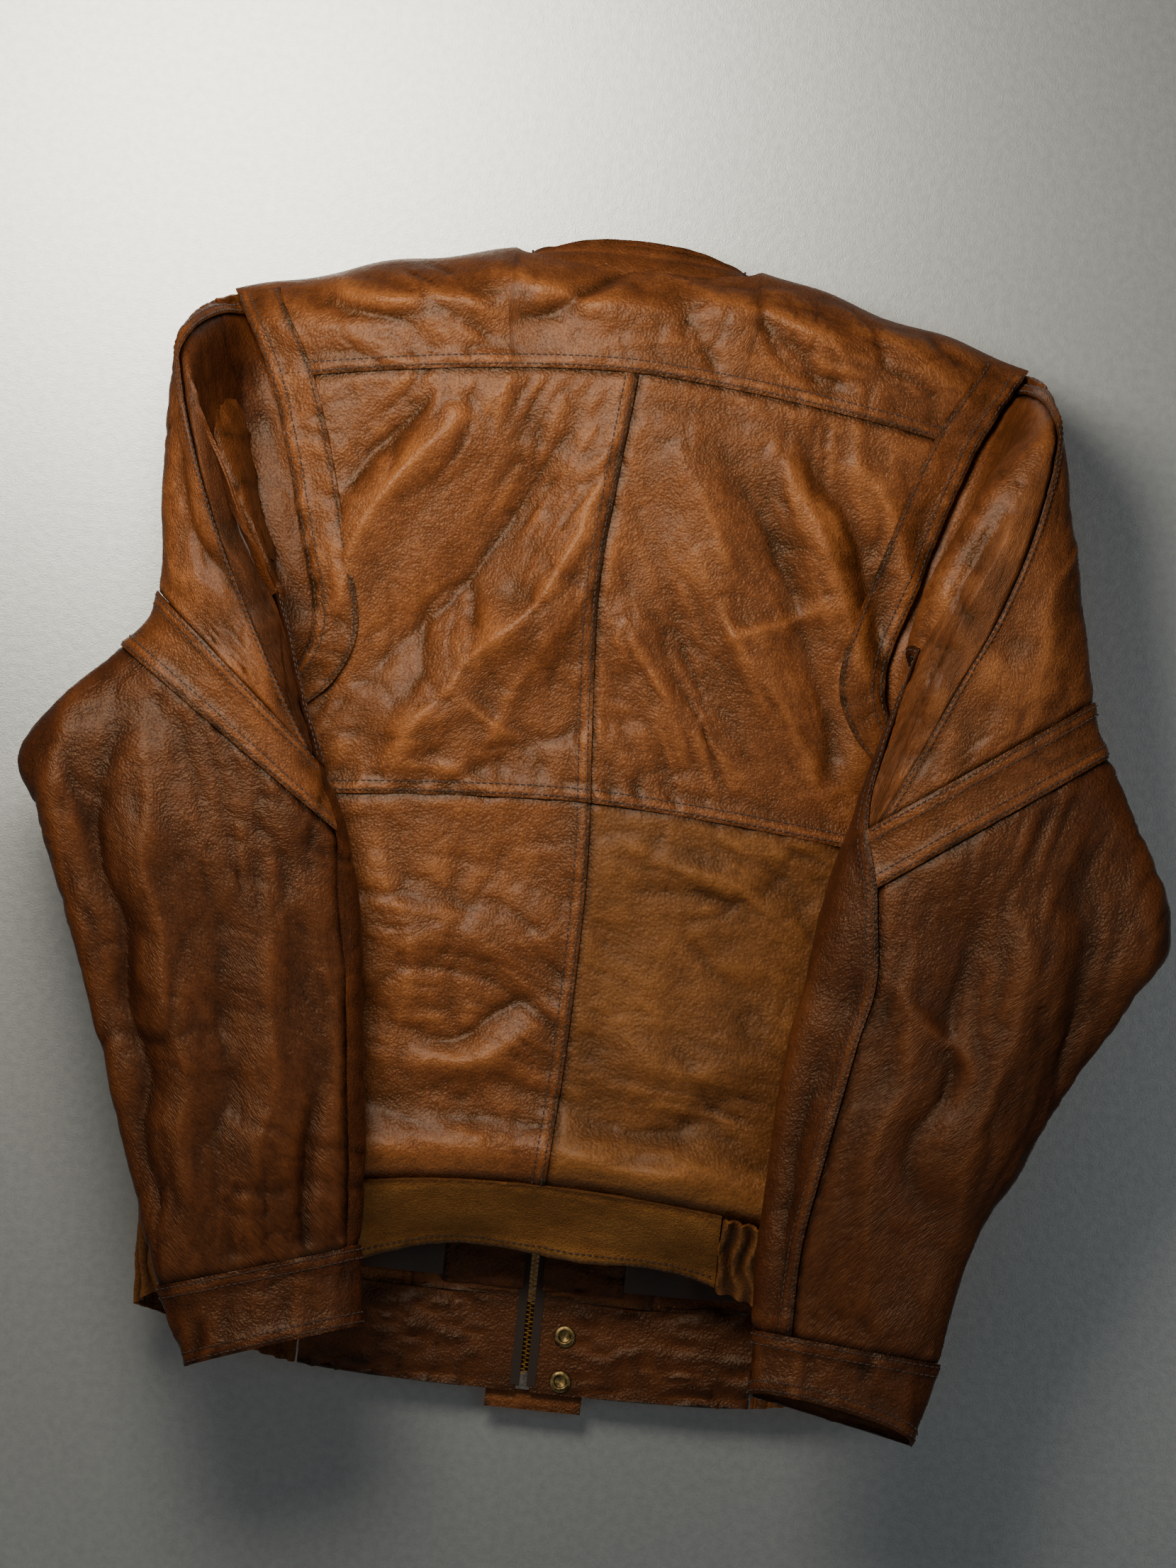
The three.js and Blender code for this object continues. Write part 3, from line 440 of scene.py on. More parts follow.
def sleeve_patch(hand, v_from, v_to, start, end, step=STEP, inset=0.0, short=0.0):
    """Part of a sleeve between two stations and two directions, start(v) and end(v).

    Its lower edge is shorter on the back, by that share of the way to the next station."""

    def at(a, b):
        v = lerp(v_from, v_to, b) + 0 * a
        degrees = lerp(start(v), end(v), a)
        v = v - short * b * np.clip(np.sin(np.radians(degrees)), 0, 1)
        return sleeve_surface(hand, degrees, v, inset)

    return Patch(even_grid(at, step), -1 if hand == "left" else 1)


def under_start(hand):
    """Where the under sleeve starts; on the right forearm it shows from behind."""
    return steady(150) if hand == "left" else (lambda v: 150 - 27 * smoothstep(1, 3.2, v))


def long_seam(hand):
    """The seam down the upper sleeve, from the outside of its head to the inner end of the elbow band."""
    return lambda v: lerp(24, under_start(hand)(v) - 8, np.clip(v / BAND_TOP, 0, 1) ** 0.9)


# ---- Noise and folds -------------------------------------------------------------------------------


def lattice_noise(points, size, seed):
    """Smooth noise from -1 to 1, with features about size across."""
    q = points / size + seed * 17.31
    base = np.floor(q).astype(np.int64)
    f = q - base
    f = f * f * f * (f * (f * 6 - 15) + 10)
    total = 0.0
    for corner in range(8):
        bits = np.array([corner & 1, corner >> 1 & 1, corner >> 2 & 1])
        cell = base + bits
        mixed = (cell[..., 0] * 73856093) ^ (cell[..., 1] * 19349663) ^ (cell[..., 2] * 83492791)
        mixed = mixed ^ (seed * 2654435)
        mixed = ((mixed ^ (mixed >> 13)) * 1274126177) & 0x7FFFFFFF
        value = ((mixed >> 7) & 0xFFFF) / 32767.5 - 1
        total = total + value * np.prod(np.where(bits == 1, f, 1 - f), axis=-1)
    return total


def creases(points, size, seed):
    """Sharp valleys between soft pads: 0 on the pads and -1 in the creases."""
    warp = np.stack([lattice_noise(points, size * 1.8, seed + k) for k in (1, 2, 3)], -1)
    n = lattice_noise(points + warp * size * 0.8, size, seed + 5)
    return -np.clip(1 - np.abs(n) * 3.2, 0, 1) ** 1.5


def rumples(points, seed):
    """The leather's own unevenness, in millimetres."""
    heavy = smoothstep(-0.5, 0.6, lattice_noise(points, 120, seed + 40))
    return (
        2.2 * lattice_noise(points, 62, seed)
        + 1.1 * lattice_noise(points, 27, seed + 11)
        + heavy * 2.0 * creases(points, 46, seed + 3)
        + (0.35 + 0.65 * heavy) * 0.85 * creases(points, 19, seed + 9)
        + 0.35 * creases(points, 9, seed + 15)
    )


def fold_height(grid, folds, seed):
    """Height of the laid folds at each point of a grid."""
    shift = np.stack([lattice_noise(grid, 45, seed + k) for k in (60, 61)], -1) * 7
    place = grid[..., [0, 2]] + shift
    total = np.zeros(grid.shape[:2])
    for path, width, height in folds:
        route = through([(i, p) for i, p in enumerate(path)])(np.linspace(0, len(path) - 1, 9))
        nearest = np.full(total.shape, 1e9)
        along = np.zeros(total.shape)
        for i, (a, b) in enumerate(zip(route, route[1:])):
            step = b - a
            t = np.clip(((place - a) @ step) / (step @ step), 0, 1)
            d = np.hypot(*np.moveaxis(place - a - t[..., None] * step, -1, 0))
            closer = d < nearest
            nearest = np.where(closer, d, nearest)
            along = np.where(closer, (i + t) / (len(route) - 1), along)
        taper = np.clip(np.sin(np.pi * np.clip(along, 0.02, 0.98)), 0, 1) ** 0.6
        sharp = np.exp(-0.5 * (nearest / width) ** 2) * 0.55 + 0.45 * np.exp(-nearest / width * 1.5)
        total += FOLD_GAIN * height * taper * sharp
    return total


def drag_lines(grid, degrees, size, seed):
    """Pulled wrinkles that all run one way, so many degrees from straight down."""
    turn = math.radians(degrees)
    x, z = grid[..., 0], grid[..., 2]
    across = x * math.cos(turn) + z * math.sin(turn) + 12 * lattice_noise(grid, 75, seed + 20)
    along = x * math.sin(turn) - z * math.cos(turn)
    q = np.stack([across, grid[..., 1] * 0.3, along * 0.2], -1)
    gate = smoothstep(-0.4, 0.5, lattice_noise(grid, 90, seed + 21))
    wide = 1.3 * lattice_noise(q, size, seed + 22) + 1.2 * creases(q, size * 0.8, seed + 23)
    narrow = lattice_noise(q, size * 0.4, seed + 24) + 1.1 * creases(q, size * 0.42, seed + 25)
    return gate * wide + (0.2 + 0.45 * gate) * narrow


def blurred(field, reach):
    """A running mean over the grid, reach points each way."""
    for axis in (0, 1):
        size = field.shape[axis]
        at = np.arange(size)
        total = np.insert(np.cumsum(field, axis=axis), 0, 0, axis=axis)
        high, low = np.minimum(at + reach + 1, size), np.maximum(at - reach, 0)
        count = (high - low).reshape((-1, 1) if axis == 0 else (1, -1))
        field = (np.take(total, high, axis=axis) - np.take(total, low, axis=axis)) / count
    return field


# ---- Meshes ----------------------------------------------------------------------------------------


def in_frame(points):
    return (np.asarray(points, float) + (0, CENTRE_Y, RISE_Z)) / 1000


def frame_place(x, y, z):
    return tuple(float(c) for c in in_frame((x, y, z)))


def normals_of(grid, turn):
    across = np.gradient(grid, axis=1)
    down = np.gradient(grid, axis=0)
    return turn * unit(np.cross(across, down))


def edge_distance(grid, edge):
    """Distance of each point from one edge of the grid, measured along it."""
    axis = 0 if edge in ("top", "bottom") else 1
    back = edge in ("bottom", "right")
    g = np.flip(grid, axis) if back else grid
    lengths = np.linalg.norm(np.diff(g, axis=axis), axis=-1)
    start = np.zeros_like(np.take(lengths, [0], axis=axis))
    d = np.concatenate([start, np.cumsum(lengths, axis=axis)], axis=axis)
    return np.flip(d, axis) if back else d


def new_object(name, points, faces, uv=None, shades=None):
    """A mesh object in the frame, from points in millimetres."""
    mesh = bpy.data.meshes.new(name)
    mesh.from_pydata(in_frame(points).tolist(), [], faces)
    if uv is not None:
        layer = mesh.uv_layers.new(name="flat")
        corners = np.empty(len(mesh.loops), np.int32)
        mesh.loops.foreach_get("vertex_index", corners)
        layer.data.foreach_set("uv", np.asarray(uv, np.float32)[corners].ravel())
    for key, values in (shades or {}).items():
        layer = mesh.attributes.new(key, "FLOAT", "POINT")
        layer.data.foreach_set("value", np.asarray(values, np.float32).ravel())
    mesh.validate()
    piece = bpy.data.objects.new(name, mesh)
    scene.collection.objects.link(piece)
    return piece


def smooth(piece, degrees=45):
    bpy.ops.object.select_all(action="DESELECT")
    piece.select_set(True)
    bpy.context.view_layer.objects.active = piece
    bpy.ops.object.shade_smooth_by_angle(angle=math.radians(degrees))
    piece.select_set(False)


def grid_faces(rows, columns, first=0, flip=False):
    at = np.arange(rows * columns).reshape(rows, columns) + first
    quads = np.stack([at[:-1, :-1], at[:-1, 1:], at[1:, 1:], at[1:, :-1]], -1).reshape(-1, 4)
    return quads[:, ::-1] if flip else quads


def skin(name, grid, turn, thick, painted_shading, flat_offset):
    """A closed sheet whose outer face is the grid, with its wall on the inside."""
    rows, columns = grid.shape[:2]
    count = rows * columns
    normals = normals_of(grid, turn)
    points = np.concatenate([grid.reshape(-1, 3), (grid - normals * thick).reshape(-1, 3)])
    outer = grid_faces(rows, columns, 0, flip=turn < 0)
    inner = grid_faces(rows, columns, count, flip=turn > 0)
    at = np.arange(count).reshape(rows, columns)
    rim = np.concatenate([at[0, :], at[1:, -1], at[-1, -2::-1], at[-2:0:-1, 0]])
    nxt = np.roll(rim, -1)
    sides = np.stack([rim, rim + count, nxt + count, nxt], -1)
    if turn < 0:
        sides = sides[:, ::-1]
    faces = np.concatenate([outer, inner, sides]).tolist()
    uv = np.stack([edge_distance(grid, "left"), -edge_distance(grid, "top")], -1)
    # the columns' own widths differ down the panel, so they are measured from the middle column
    middle = uv[:, columns // 2, 0].copy()
    uv[..., 0] -= middle[:, None]
    uv = (uv.reshape(-1, 2) + flat_offset) / 1000
    # The painted light and shade is kept on both faces as a point attribute.
    shades = {"painted_shading": np.tile(painted_shading.ravel(), 2)}
    piece = new_object(name, points, faces, np.tile(uv, (2, 1)), shades)
    smooth(piece)
    return piece


# ---- Thread ----------------------------------------------------------------------------------------
# Stitches are gathered by what they are sewn to, and become one mesh for each.
thread = {}


def line_at(grid, normals, edge, offset):
    """The line that runs beside an edge of a grid, offset from it, with its normals."""
    d = edge_distance(grid, edge)
    both = np.concatenate([grid, normals], -1)
    if edge in ("left", "right"):
        d, both = d.T, both.transpose(1, 0, 2)
    if d[0].mean() > d[-1].mean():
        d, both = d[::-1], both[::-1]
    out = np.empty((d.shape[1], 6))
    for j in range(d.shape[1]):
        for k in range(6):
            out[j, k] = np.interp(offset, d[:, j], both[:, j, k])
    return out[:, :3], unit(out[:, 3:])


def sew(key, line, normals):
    """Lays stitches along a line."""
    lengths = np.linalg.norm(np.diff(line, axis=0), axis=1)
    so_far = np.concatenate([[0], np.cumsum(lengths)])
    places = np.arange(STITCH_PITCH, so_far[-1] - STITCH_PITCH * 0.6, STITCH_PITCH)
    if len(places) < 2:
        return

    def sampled(values, at):
        return np.stack([np.interp(at, so_far, values[:, k]) for k in range(3)], -1)

    centre = sampled(line, places)
    ahead = unit(sampled(line, places + 1.2) - sampled(line, places - 1.2))
    up = unit(sampled(normals, places))
    thread.setdefault(key, []).append((centre + up * STITCH_LIFT, ahead, up))


def make_thread(name, runs):
    """One mesh of all the stitches of some runs: short flattened rods with rounded ends."""
    sides, stations = 5, [(-0.5, 0.45), (-0.3, 1.0), (0.3, 1.0), (0.5, 0.45)]
    centre, ahead, up = (np.concatenate([run[i] for run in runs]) for i in range(3))
    aside = np.cross(up, ahead)
    up = np.cross(ahead, aside)
    turns = [2 * math.pi * k / sides for k in range(sides)]
    ring = [(math.cos(turn), math.sin(turn)) for turn in turns]
    local = []
    for along, share in stations:
        sunk = 0.25 * (abs(along) > 0.45)
        for c, s in ring:
            wide, tall = c * THREAD_RADIUS * share, s * THREAD_RADIUS * share * 0.8
            local.append((along * STITCH_LENGTH, wide, tall - sunk))
    local = np.array(local)
    points = (
        centre[:, None]
        + ahead[:, None] * local[None, :, :1]
        + aside[:, None] * local[None, :, 1:2]
        + up[:, None] * local[None, :, 2:]
    )
    faces = []
    for i in range(len(stations) - 1):
        for k in range(sides):
            a, b = i * sides + k, i * sides + (k + 1) % sides
            faces.append((a, a + sides, b + sides, b))
    last = (len(stations) - 1) * sides
    caps = [tuple(range(sides)), tuple(range(last + sides - 1, last - 1, -1))]
    size = len(local)
    all_faces = []
    for n in range(len(centre)):
        all_faces += [tuple(v + n * size for v in face) for face in faces + caps]
    piece = new_object(name, points.reshape(-1, 3), all_faces)
    smooth(piece, 80)
    return piece


# ---- Materials -------------------------------------------------------------------------------------


def linear(code):
    """A hex sRGB colour as linear red, green, blue and one."""
    channels = [int(code[i : i + 2], 16) / 255 for i in (1, 3, 5)]
    return [c / 12.92 if c <= 0.04045 else ((c + 0.055) / 1.055) ** 2.4 for c in channels] + [1.0]


def node(tree, kind, inputs=None, **settings):
    """Adds a node with its settings; inputs are values, or sockets to link from."""
    made = tree.nodes.new(kind)
    for key, value in settings.items():
        setattr(made, key, value)
    for key, value in (inputs or {}).items():
        if isinstance(value, bpy.types.NodeSocket):
            tree.links.new(value, made.inputs[key])
        else:
            made.inputs[key].default_value = value
    return made


def blank_material(name, **shader):
    material = bpy.data.materials.new(name)
    material.use_nodes = True
    tree = material.node_tree
    bsdf = tree.nodes["Principled BSDF"]
    for key, value in shader.items():
        bsdf.inputs[key.replace("_", " ")].default_value = value
    return material, tree, bsdf


def ramp(tree, factor, stops, easing="EASE"):
    made = node(tree, "ShaderNodeValToRGB", {0: factor})
    made.color_ramp.interpolation = easing
    elements = made.color_ramp.elements
    while len(elements) < len(stops):
        elements.new(0.5)
    for element, (at, colour) in zip(elements, stops):
        element.position = at
        element.color = colour
    return made.outputs["Color"]


def grey(value):
    return (value, value, value, 1)


def leather(name, dark, base, light, rough, gloss, grain=1.5, own_map=True):
    """Aniline lambskin, drum-dyed and glazed: mottled, pebbled, lighter on the ridges and darker in the
    creases as painted light and shade, with a satin gloss that the pebbles break up."""
    material, tree, bsdf = blank_material(name, Coat_Weight=gloss, Coat_Roughness=0.24)
    bsdf.inputs["Specular IOR Level"].default_value = 0.26
    bsdf.inputs["Specular Tint"].default_value = linear("#ffddb9")
    flat = node(tree, "ShaderNodeTexCoord").outputs["UV" if own_map else "Object"]
    painted_shading = node(tree, "ShaderNodeAttribute", attribute_name="painted_shading").outputs["Fac"]
    cloudy = node(
        tree, "ShaderNodeTexNoise", {"Vector": flat, "Scale": 1 / 0.07, "Detail": 5, "Roughness": 0.62},
    ).outputs["Fac"]
    blotches = node(
        tree, "ShaderNodeTexNoise", {"Vector": flat, "Scale": 1 / 0.013, "Detail": 6, "Roughness": 0.7},
    ).outputs["Fac"]
    fine = node(
        tree, "ShaderNodeTexNoise",
        {"Vector": flat, "Scale": 1 / 0.0042, "Detail": 4, "Roughness": 0.65, "Distortion": 0.35},
    ).outputs["Fac"]
    specks = node(
        tree, "ShaderNodeTexNoise", {"Vector": flat, "Scale": 1 / 0.0014, "Detail": 2},
    ).outputs["Fac"]
    pebbles = node(
        tree, "ShaderNodeTexVoronoi", {"Vector": flat, "Scale": 1000 / grain, "Randomness": 0.9},
        feature="SMOOTH_F1",
    ).outputs["Distance"]
    # The mottling is mixed with the painted light and shade that the attribute carries.
    shade = -0.44
    for part, share in ((cloudy, 0.6), (blotches, 0.3), (fine, 0.25), (specks, 0.5), (painted_shading, 0.2)):
        shade = node(
            tree, "ShaderNodeMath", {0: part, 1: share, 2: shade}, operation="MULTIPLY_ADD",
        ).outputs[0]
    colour = ramp(
        tree, shade, [(0.05, linear(dark)), (0.4, linear(base)), (0.85, linear(light))], "LINEAR",
    )
    tree.links.new(colour, bsdf.inputs["Base Color"])
    roughness = node(
        tree, "ShaderNodeMath", {0: blotches, 1: 0.35, 2: rough - 0.17}, operation="MULTIPLY_ADD",
    ).outputs[0]
    tree.links.new(roughness, bsdf.inputs["Roughness"])
    normal = None
    bumps = ((fine, 0.6, 0.0009), (blotches, 0.5, 0.0012), (pebbles, 0.9, 0.0006))
    for height, strength, distance in bumps:
        inputs = {"Height": height, "Strength": strength, "Distance": distance}
        if normal is not None:
            inputs["Normal"] = normal
        normal = node(tree, "ShaderNodeBump", inputs).outputs[0]
    tree.links.new(normal, bsdf.inputs["Normal"])
    return material


def satin():
    """Viscose lining satin, woven and calendered: a sheen along fine ribs, with painted shade in hollows.
    """
    material, tree, bsdf = blank_material("lining_satin_woven", Sheen_Weight=0.12, Anisotropic=0.5)
    flat = node(tree, "ShaderNodeTexCoord").outputs["UV"]
    painted_shading = node(tree, "ShaderNodeAttribute", attribute_name="painted_shading").outputs["Fac"]
    ribs = node(
        tree, "ShaderNodeTexWave", {"Vector": flat, "Scale": 1 / 0.0022, "Distortion": 0.6},
        bands_direction="Y",
    ).outputs["Fac"]
    # Painted light and shade from the fold heights: darker in the hollows, lighter on the rises.
    shade = node(tree, "ShaderNodeMath", {0: painted_shading, 1: 0.3, 2: 0.5}, operation="MULTIPLY_ADD").outputs[0]
    colour = ramp(tree, shade, [(0.0, linear("#180e09")), (1.0, linear("#45291a"))], "LINEAR")
    tree.links.new(colour, bsdf.inputs["Base Color"])
    bsdf.inputs["Roughness"].default_value = 0.42
    bump = node(tree, "ShaderNodeBump", {"Height": ribs, "Strength": 0.25, "Distance": 0.0002}).outputs[0]
    tree.links.new(bump, bsdf.inputs["Normal"])
    return material


def cloth_tape():
    """Cotton zip tape, woven in a herringbone: dull, with ribs two thirds of a millimetre apart."""
    material, tree, bsdf = blank_material("zip_tape_cotton", Sheen_Weight=0.12)
    place = node(tree, "ShaderNodeTexCoord").outputs["Object"]
    ribs = node(
        tree, "ShaderNodeTexWave", {"Vector": place, "Scale": 1 / 0.0024}, bands_direction="DIAGONAL",
    ).outputs["Fac"]
    colour = ramp(tree, ribs, [(0.0, linear("#160d08")), (1.0, linear("#2c1c11"))])
    tree.links.new(colour, bsdf.inputs["Base Color"])
    bsdf.inputs["Roughness"].default_value = 0.85
    bump = node(tree, "ShaderNodeBump", {"Height": ribs, "Strength": 0.5, "Distance": 0.0003}).outputs[0]
    tree.links.new(bump, bsdf.inputs["Normal"])
    return material


def sewing_thread():
    """Bonded polyester thread, twisted from three plies: low gloss, with a slanting twist."""
    material, tree, bsdf = blank_material("thread_polyester", Roughness=0.55, Sheen_Weight=0.2)
    place = node(tree, "ShaderNodeTexCoord").outputs["Object"]
    spots = node(tree, "ShaderNodeTexNoise", {"Vector": place, "Scale": 1 / 0.004}).outputs["Fac"]
    # Dark brown like the real thread, made darker still to paint the shadow that picks out the stitches.
    colour = ramp(tree, spots, [(0.3, linear("#1f0f06")), (0.7, linear("#3f2411"))])
    tree.links.new(colour, bsdf.inputs["Base Color"])
    plies = node(
        tree, "ShaderNodeTexWave", {"Vector": place, "Scale": 1 / 0.0009}, bands_direction="DIAGONAL",
    ).outputs["Fac"]
    bump = node(tree, "ShaderNodeBump", {"Height": plies, "Strength": 0.4, "Distance": 0.0002}).outputs[0]
    tree.links.new(bump, bsdf.inputs["Normal"])
    return material


def old_metal(name, bright, tarnish, rough):
    """Stamped and plated metal, rubbed bright on its high spots and tarnished elsewhere."""
    material, tree, bsdf = blank_material(name, Metallic=1.0)
    place = node(tree, "ShaderNodeTexCoord").outputs["Object"]
    patches = node(
        tree, "ShaderNodeTexNoise", {"Vector": place, "Scale": 1 / 0.0035, "Detail": 5, "Roughness": 0.7}
    ).outputs["Fac"]
    colour = ramp(tree, patches, [(0.35, linear(tarnish)), (0.65, linear(bright))])
    tree.links.new(colour, bsdf.inputs["Base Color"])
    roughness = node(
        tree, "ShaderNodeMath", {0: patches, 1: -0.3, 2: rough + 0.15}, operation="MULTIPLY_ADD",
    ).outputs[0]
    tree.links.new(roughness, bsdf.inputs["Roughness"])
    bump = node(
        tree, "ShaderNodeBump", {"Height": patches, "Strength": 0.15, "Distance": 0.0002},
    ).outputs[0]
    tree.links.new(bump, bsdf.inputs["Normal"])
    return material


BROWN = leather("lambskin_brown", "#2a1707", "#61371c", "#9a6235", 0.37, 0.06)
LOOP_LEATHER = leather("lambskin_loop", "#2a1707", "#61371c", "#9a6235", 0.42, 0.05, own_map=False)
TAN = leather("lambskin_tan_worn", "#2f1a0b", "#5f3a1c", "#905f31", 0.46, 0.04, 1.9)
DARK = leather("lambskin_dark_red", "#1d0e07", "#432311", "#683b1d", 0.4, 0.03)
# Tan suede-like band leather, painted lighter than its own colour to offset the shade on its
# downward-turned face.
SUEDED_PAINTED_LIGHTER = leather("lambskin_sueded_band_painted_lighter", "#4e3118", "#815428", "#a67d45", 0.72, 0.0, 1.2)
SATIN_CLOTH = satin()
TAPE = cloth_tape()
THREAD = sewing_thread()
ZIP_BRASS = old_metal("brass_stamped_worn", "#b08a45", "#5d4322", 0.38)
SNAP_BRASS = old_metal("brass_antique_plated", "#8f7a4e", "#3f3524", 0.42)
STEEL = old_metal("steel_nickel_tarnished", "#8d8982", "#4b4640", 0.36)

# ---- Making a sewn piece ---------------------------------------------------------------------------
Bend = namedtuple("Bend", "above below start end")
sewn_names = []

# How a seam shapes the leather beside it: reaches from the edge and heights, in millimetres.
PUCKER_REACH, FLAT_REACH = 9.0, 7.0
LAP_REACH, LAP_HEIGHT = 10.5, 1.15
ROUND_REACH, ROUND_DEPTH = 1.6, 0.5
TUCK_REACH, TUCK_DEPTH = 3.2, 1.3
# Painted light and shade: how far round the relief is averaged, the height that gives full light or shade,
# and how wide the painted shade runs beside stitch rows and tucked edges.
SHADE_REACH, SHADE_HEIGHT = 11, 1.3
STITCH_SHADE, TUCK_SHADE = 1.7, 2.5
OWN_PLACE = np.array([137.0, 71.0])  # moves each piece's grain on from the last one's


def hold(piece, on):
    """Makes a piece ride on a body; a piece at a bend between two bodies is only baked in place."""
    if isinstance(on, Bend):
        frame_place(*on.start)
        frame_place(*on.end)
        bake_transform(piece)
    else:
        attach(piece, on)


def sewn(
    name, patch, finish, on, stands_for=(), thick=LEATHER, folds=(), seed=3, rumple=1.0, over=(),
    under=(), rows=None, single=(), pucker=1.0, extra=None, drag=None, calm=None,
):
    """A leather or satin panel: its patch, laid with folds and rumples, lapped at its seams and sewn."""
    base = patch.grid
    normals = normals_of(base, patch.turn)
    behind = np.clip(-normals[..., 1], 0, 1) ** 0.7
    height = rumple * rumples(base, seed)
    if folds:
        height = height + behind * fold_height(base, folds, seed)
    if drag is not None:
        height = height + drag_lines(base, drag, 17, seed)
    for edge in tuple(over) + tuple(under) + tuple(single):
        d = edge_distance(base, edge)
        near = np.exp(-((d / PUCKER_REACH) ** 2))
        ripple = lattice_noise(base, 6.5, seed + 71) * 0.45 + lattice_noise(base, 13, seed + 72) * 0.55
        height = height * (1 - 0.5 * np.exp(-((d / FLAT_REACH) ** 2))) + pucker * near * ripple
    for edge in over:
        d = edge_distance(base, edge)
        height = height + LAP_HEIGHT * np.exp(-((d / LAP_REACH) ** 6))
        height = height - ROUND_DEPTH * np.clip(1 - d / ROUND_REACH, 0, 1)
    for edge in under:
        d = edge_distance(base, edge)
        height = height - TUCK_DEPTH * np.exp(-((d / TUCK_REACH) ** 2))
    if extra is not None:
        height = height + extra(base)
    if calm is not None:
        height = height * calm(base)
    grid = base + normals * height[..., None]
    # Painted light and shade for the colour: lighter on the ridges above the blurred height and darker in
    # the creases.
    reach = max(2, int(round(SHADE_REACH / STEP)))
    painted_shading = np.clip((height - blurred(height, reach)) / SHADE_HEIGHT, -1, 1)
    # Painted shade along each seam and along its rows of stitches.
    marked = [(edge, STITCH_ROWS) for edge in (over if rows is None else rows)]
    marked += [(edge, STITCH_ROWS[:1]) for edge in single]
    for edge, offsets in marked:
        d = edge_distance(base, edge)
        for offset in (0.0,) + offsets:
            painted_shading = painted_shading - 0.8 * np.exp(-(((d - offset) / STITCH_SHADE) ** 2))
    # Painted shade where an edge tucks under its neighbour.
    for edge in under:
        painted_shading = painted_shading - 1.2 * np.exp(-((edge_distance(base, edge) / TUCK_SHADE) ** 2))
    sewn_names.append(name)
    offset = OWN_PLACE * len(sewn_names)
    piece = skin(name, grid, patch.turn, thick, painted_shading, offset)
    piece.data.materials.append(finish)
    hold(piece, on)
    if stands_for:
        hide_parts(*stands_for)
    wide = np.linalg.norm(np.diff(base, axis=1), axis=-1).sum(axis=1).max() / 1000
    tall = np.linalg.norm(np.diff(base, axis=0), axis=-1).sum(axis=0).max() / 1000
    cells = np.cross(np.diff(base, axis=1)[:-1], np.diff(base, axis=0)[:, :-1])
    area = np.linalg.norm(cells, axis=-1).sum() / 1e6
    area = min(max(area, 0.31 * wide * tall), wide * tall)
    outward = normals_of(grid, patch.turn)
    for edge in over if rows is None else rows:
        for offset in STITCH_ROWS:
            line, up = line_at(grid, outward, edge, offset)
            sew(on, line, up)
    for edge in single:
        line, up = line_at(grid, outward, edge, STITCH_ROWS[0])
        sew(on, line, up)
    return piece


def blouse(base):
    """The back puffs out over its waistband before it turns in to the seam."""
    up = base[..., 2] - back_band_top(base[..., 0])
    return 8 * np.exp(-(((up - 22) / 17) ** 2)) - 9 * np.exp(-up / 6)


def yoke():
    patch = body_patch(-1, lambda z: -armhole_edge(z), armhole_edge, back_neck, yoke_seam)
    sewn(
        "yoke_back", patch, BROWN, "torso", ["back_yoke"], folds=BACK_FOLDS, drag=76,
        calm=calm_on_top, over=("bottom",),
    )


def back_panels():
    for hand, sign in HANDS:
        inner, outer = INNER_OUTER[hand]
        left, right = (centre_seam, body_edge) if sign > 0 else (lambda z: -body_edge(z), centre_seam)
        lapped = (inner,) if sign < 0 else ()
        tucked = (outer,) if sign < 0 else (inner, outer)
        sewn(
            f"back_upper_panel_{hand}", body_patch(-1, left, right, yoke_seam, waist_seam), BROWN,
            "torso", [f"back_upper_{hand}"], folds=BACK_FOLDS, drag=sign * 28,
            over=("bottom",) + lapped, under=("top",) + tucked,
        )
        sewn(
            f"back_lower_panel_{hand}", body_patch(-1, left, right, waist_seam, back_band_top),
            TAN if sign > 0 else BROWN, "torso",
            [f"back_lower_{hand}"], seed=5, folds=BACK_FOLDS, rumple=0.8, drag=80, over=lapped,
            under=("top",) + tucked, extra=blouse,
        )


def flanges():
    for hand, sign in HANDS:
        inner, outer = INNER_OUTER[hand]
        left, right = sides(sign, lambda z: armhole_edge(z) - FLANGE_WIDTH, armhole_edge)
        sewn(
            f"armhole_strip_{hand}",
            body_patch(
                -1, left, right, lambda x: shoulder_line(x) - 5, steady(ARMHOLE_Z + 8), inset=-2.2,
            ),
            BROWN, "torso", [f"shoulder_flange_{hand}"], folds=BACK_FOLDS,
            over=(outer,), single=(inner,), pucker=2.0,
        )


# ---- Front panels, facings and linings -------------------------------------------------------------


def calm_on_top(base):
    """Pieces lie flat where the back meets the front along the shoulders."""
    return smoothstep(-3, 11, shoulder_line(base[..., 0]) - base[..., 2])


def calm_by_zip(base):
    """Front pieces lie flat where the zip and its snaps are fixed to them."""
    return smoothstep(16, 42, np.abs(base[..., 0])) * calm_on_top(base)


def crinkled(base):
    """Leather that gathers and crinkles beside the zip."""
    return 1.6 * creases(base * (1, 1, 2.2), 24, 31) + 0.8 * lattice_noise(base * (1, 1, 2.5), 14, 37)


def satin_folds(base):
    """Soft upright folds of a lining that is cut wider than the leather."""
    return 2.4 * lattice_noise(base * (1, 1, 0.25), 26, 51) - 1.0


FACING_TOP = NECK_Z - NECK_DROP_FRONT - 30
FACING_INSET = LEATHER + 3.5
LINING_STEP = STEP * 1.6
FRONT_LINING_INSET, BACK_LINING_INSET = 9, 17


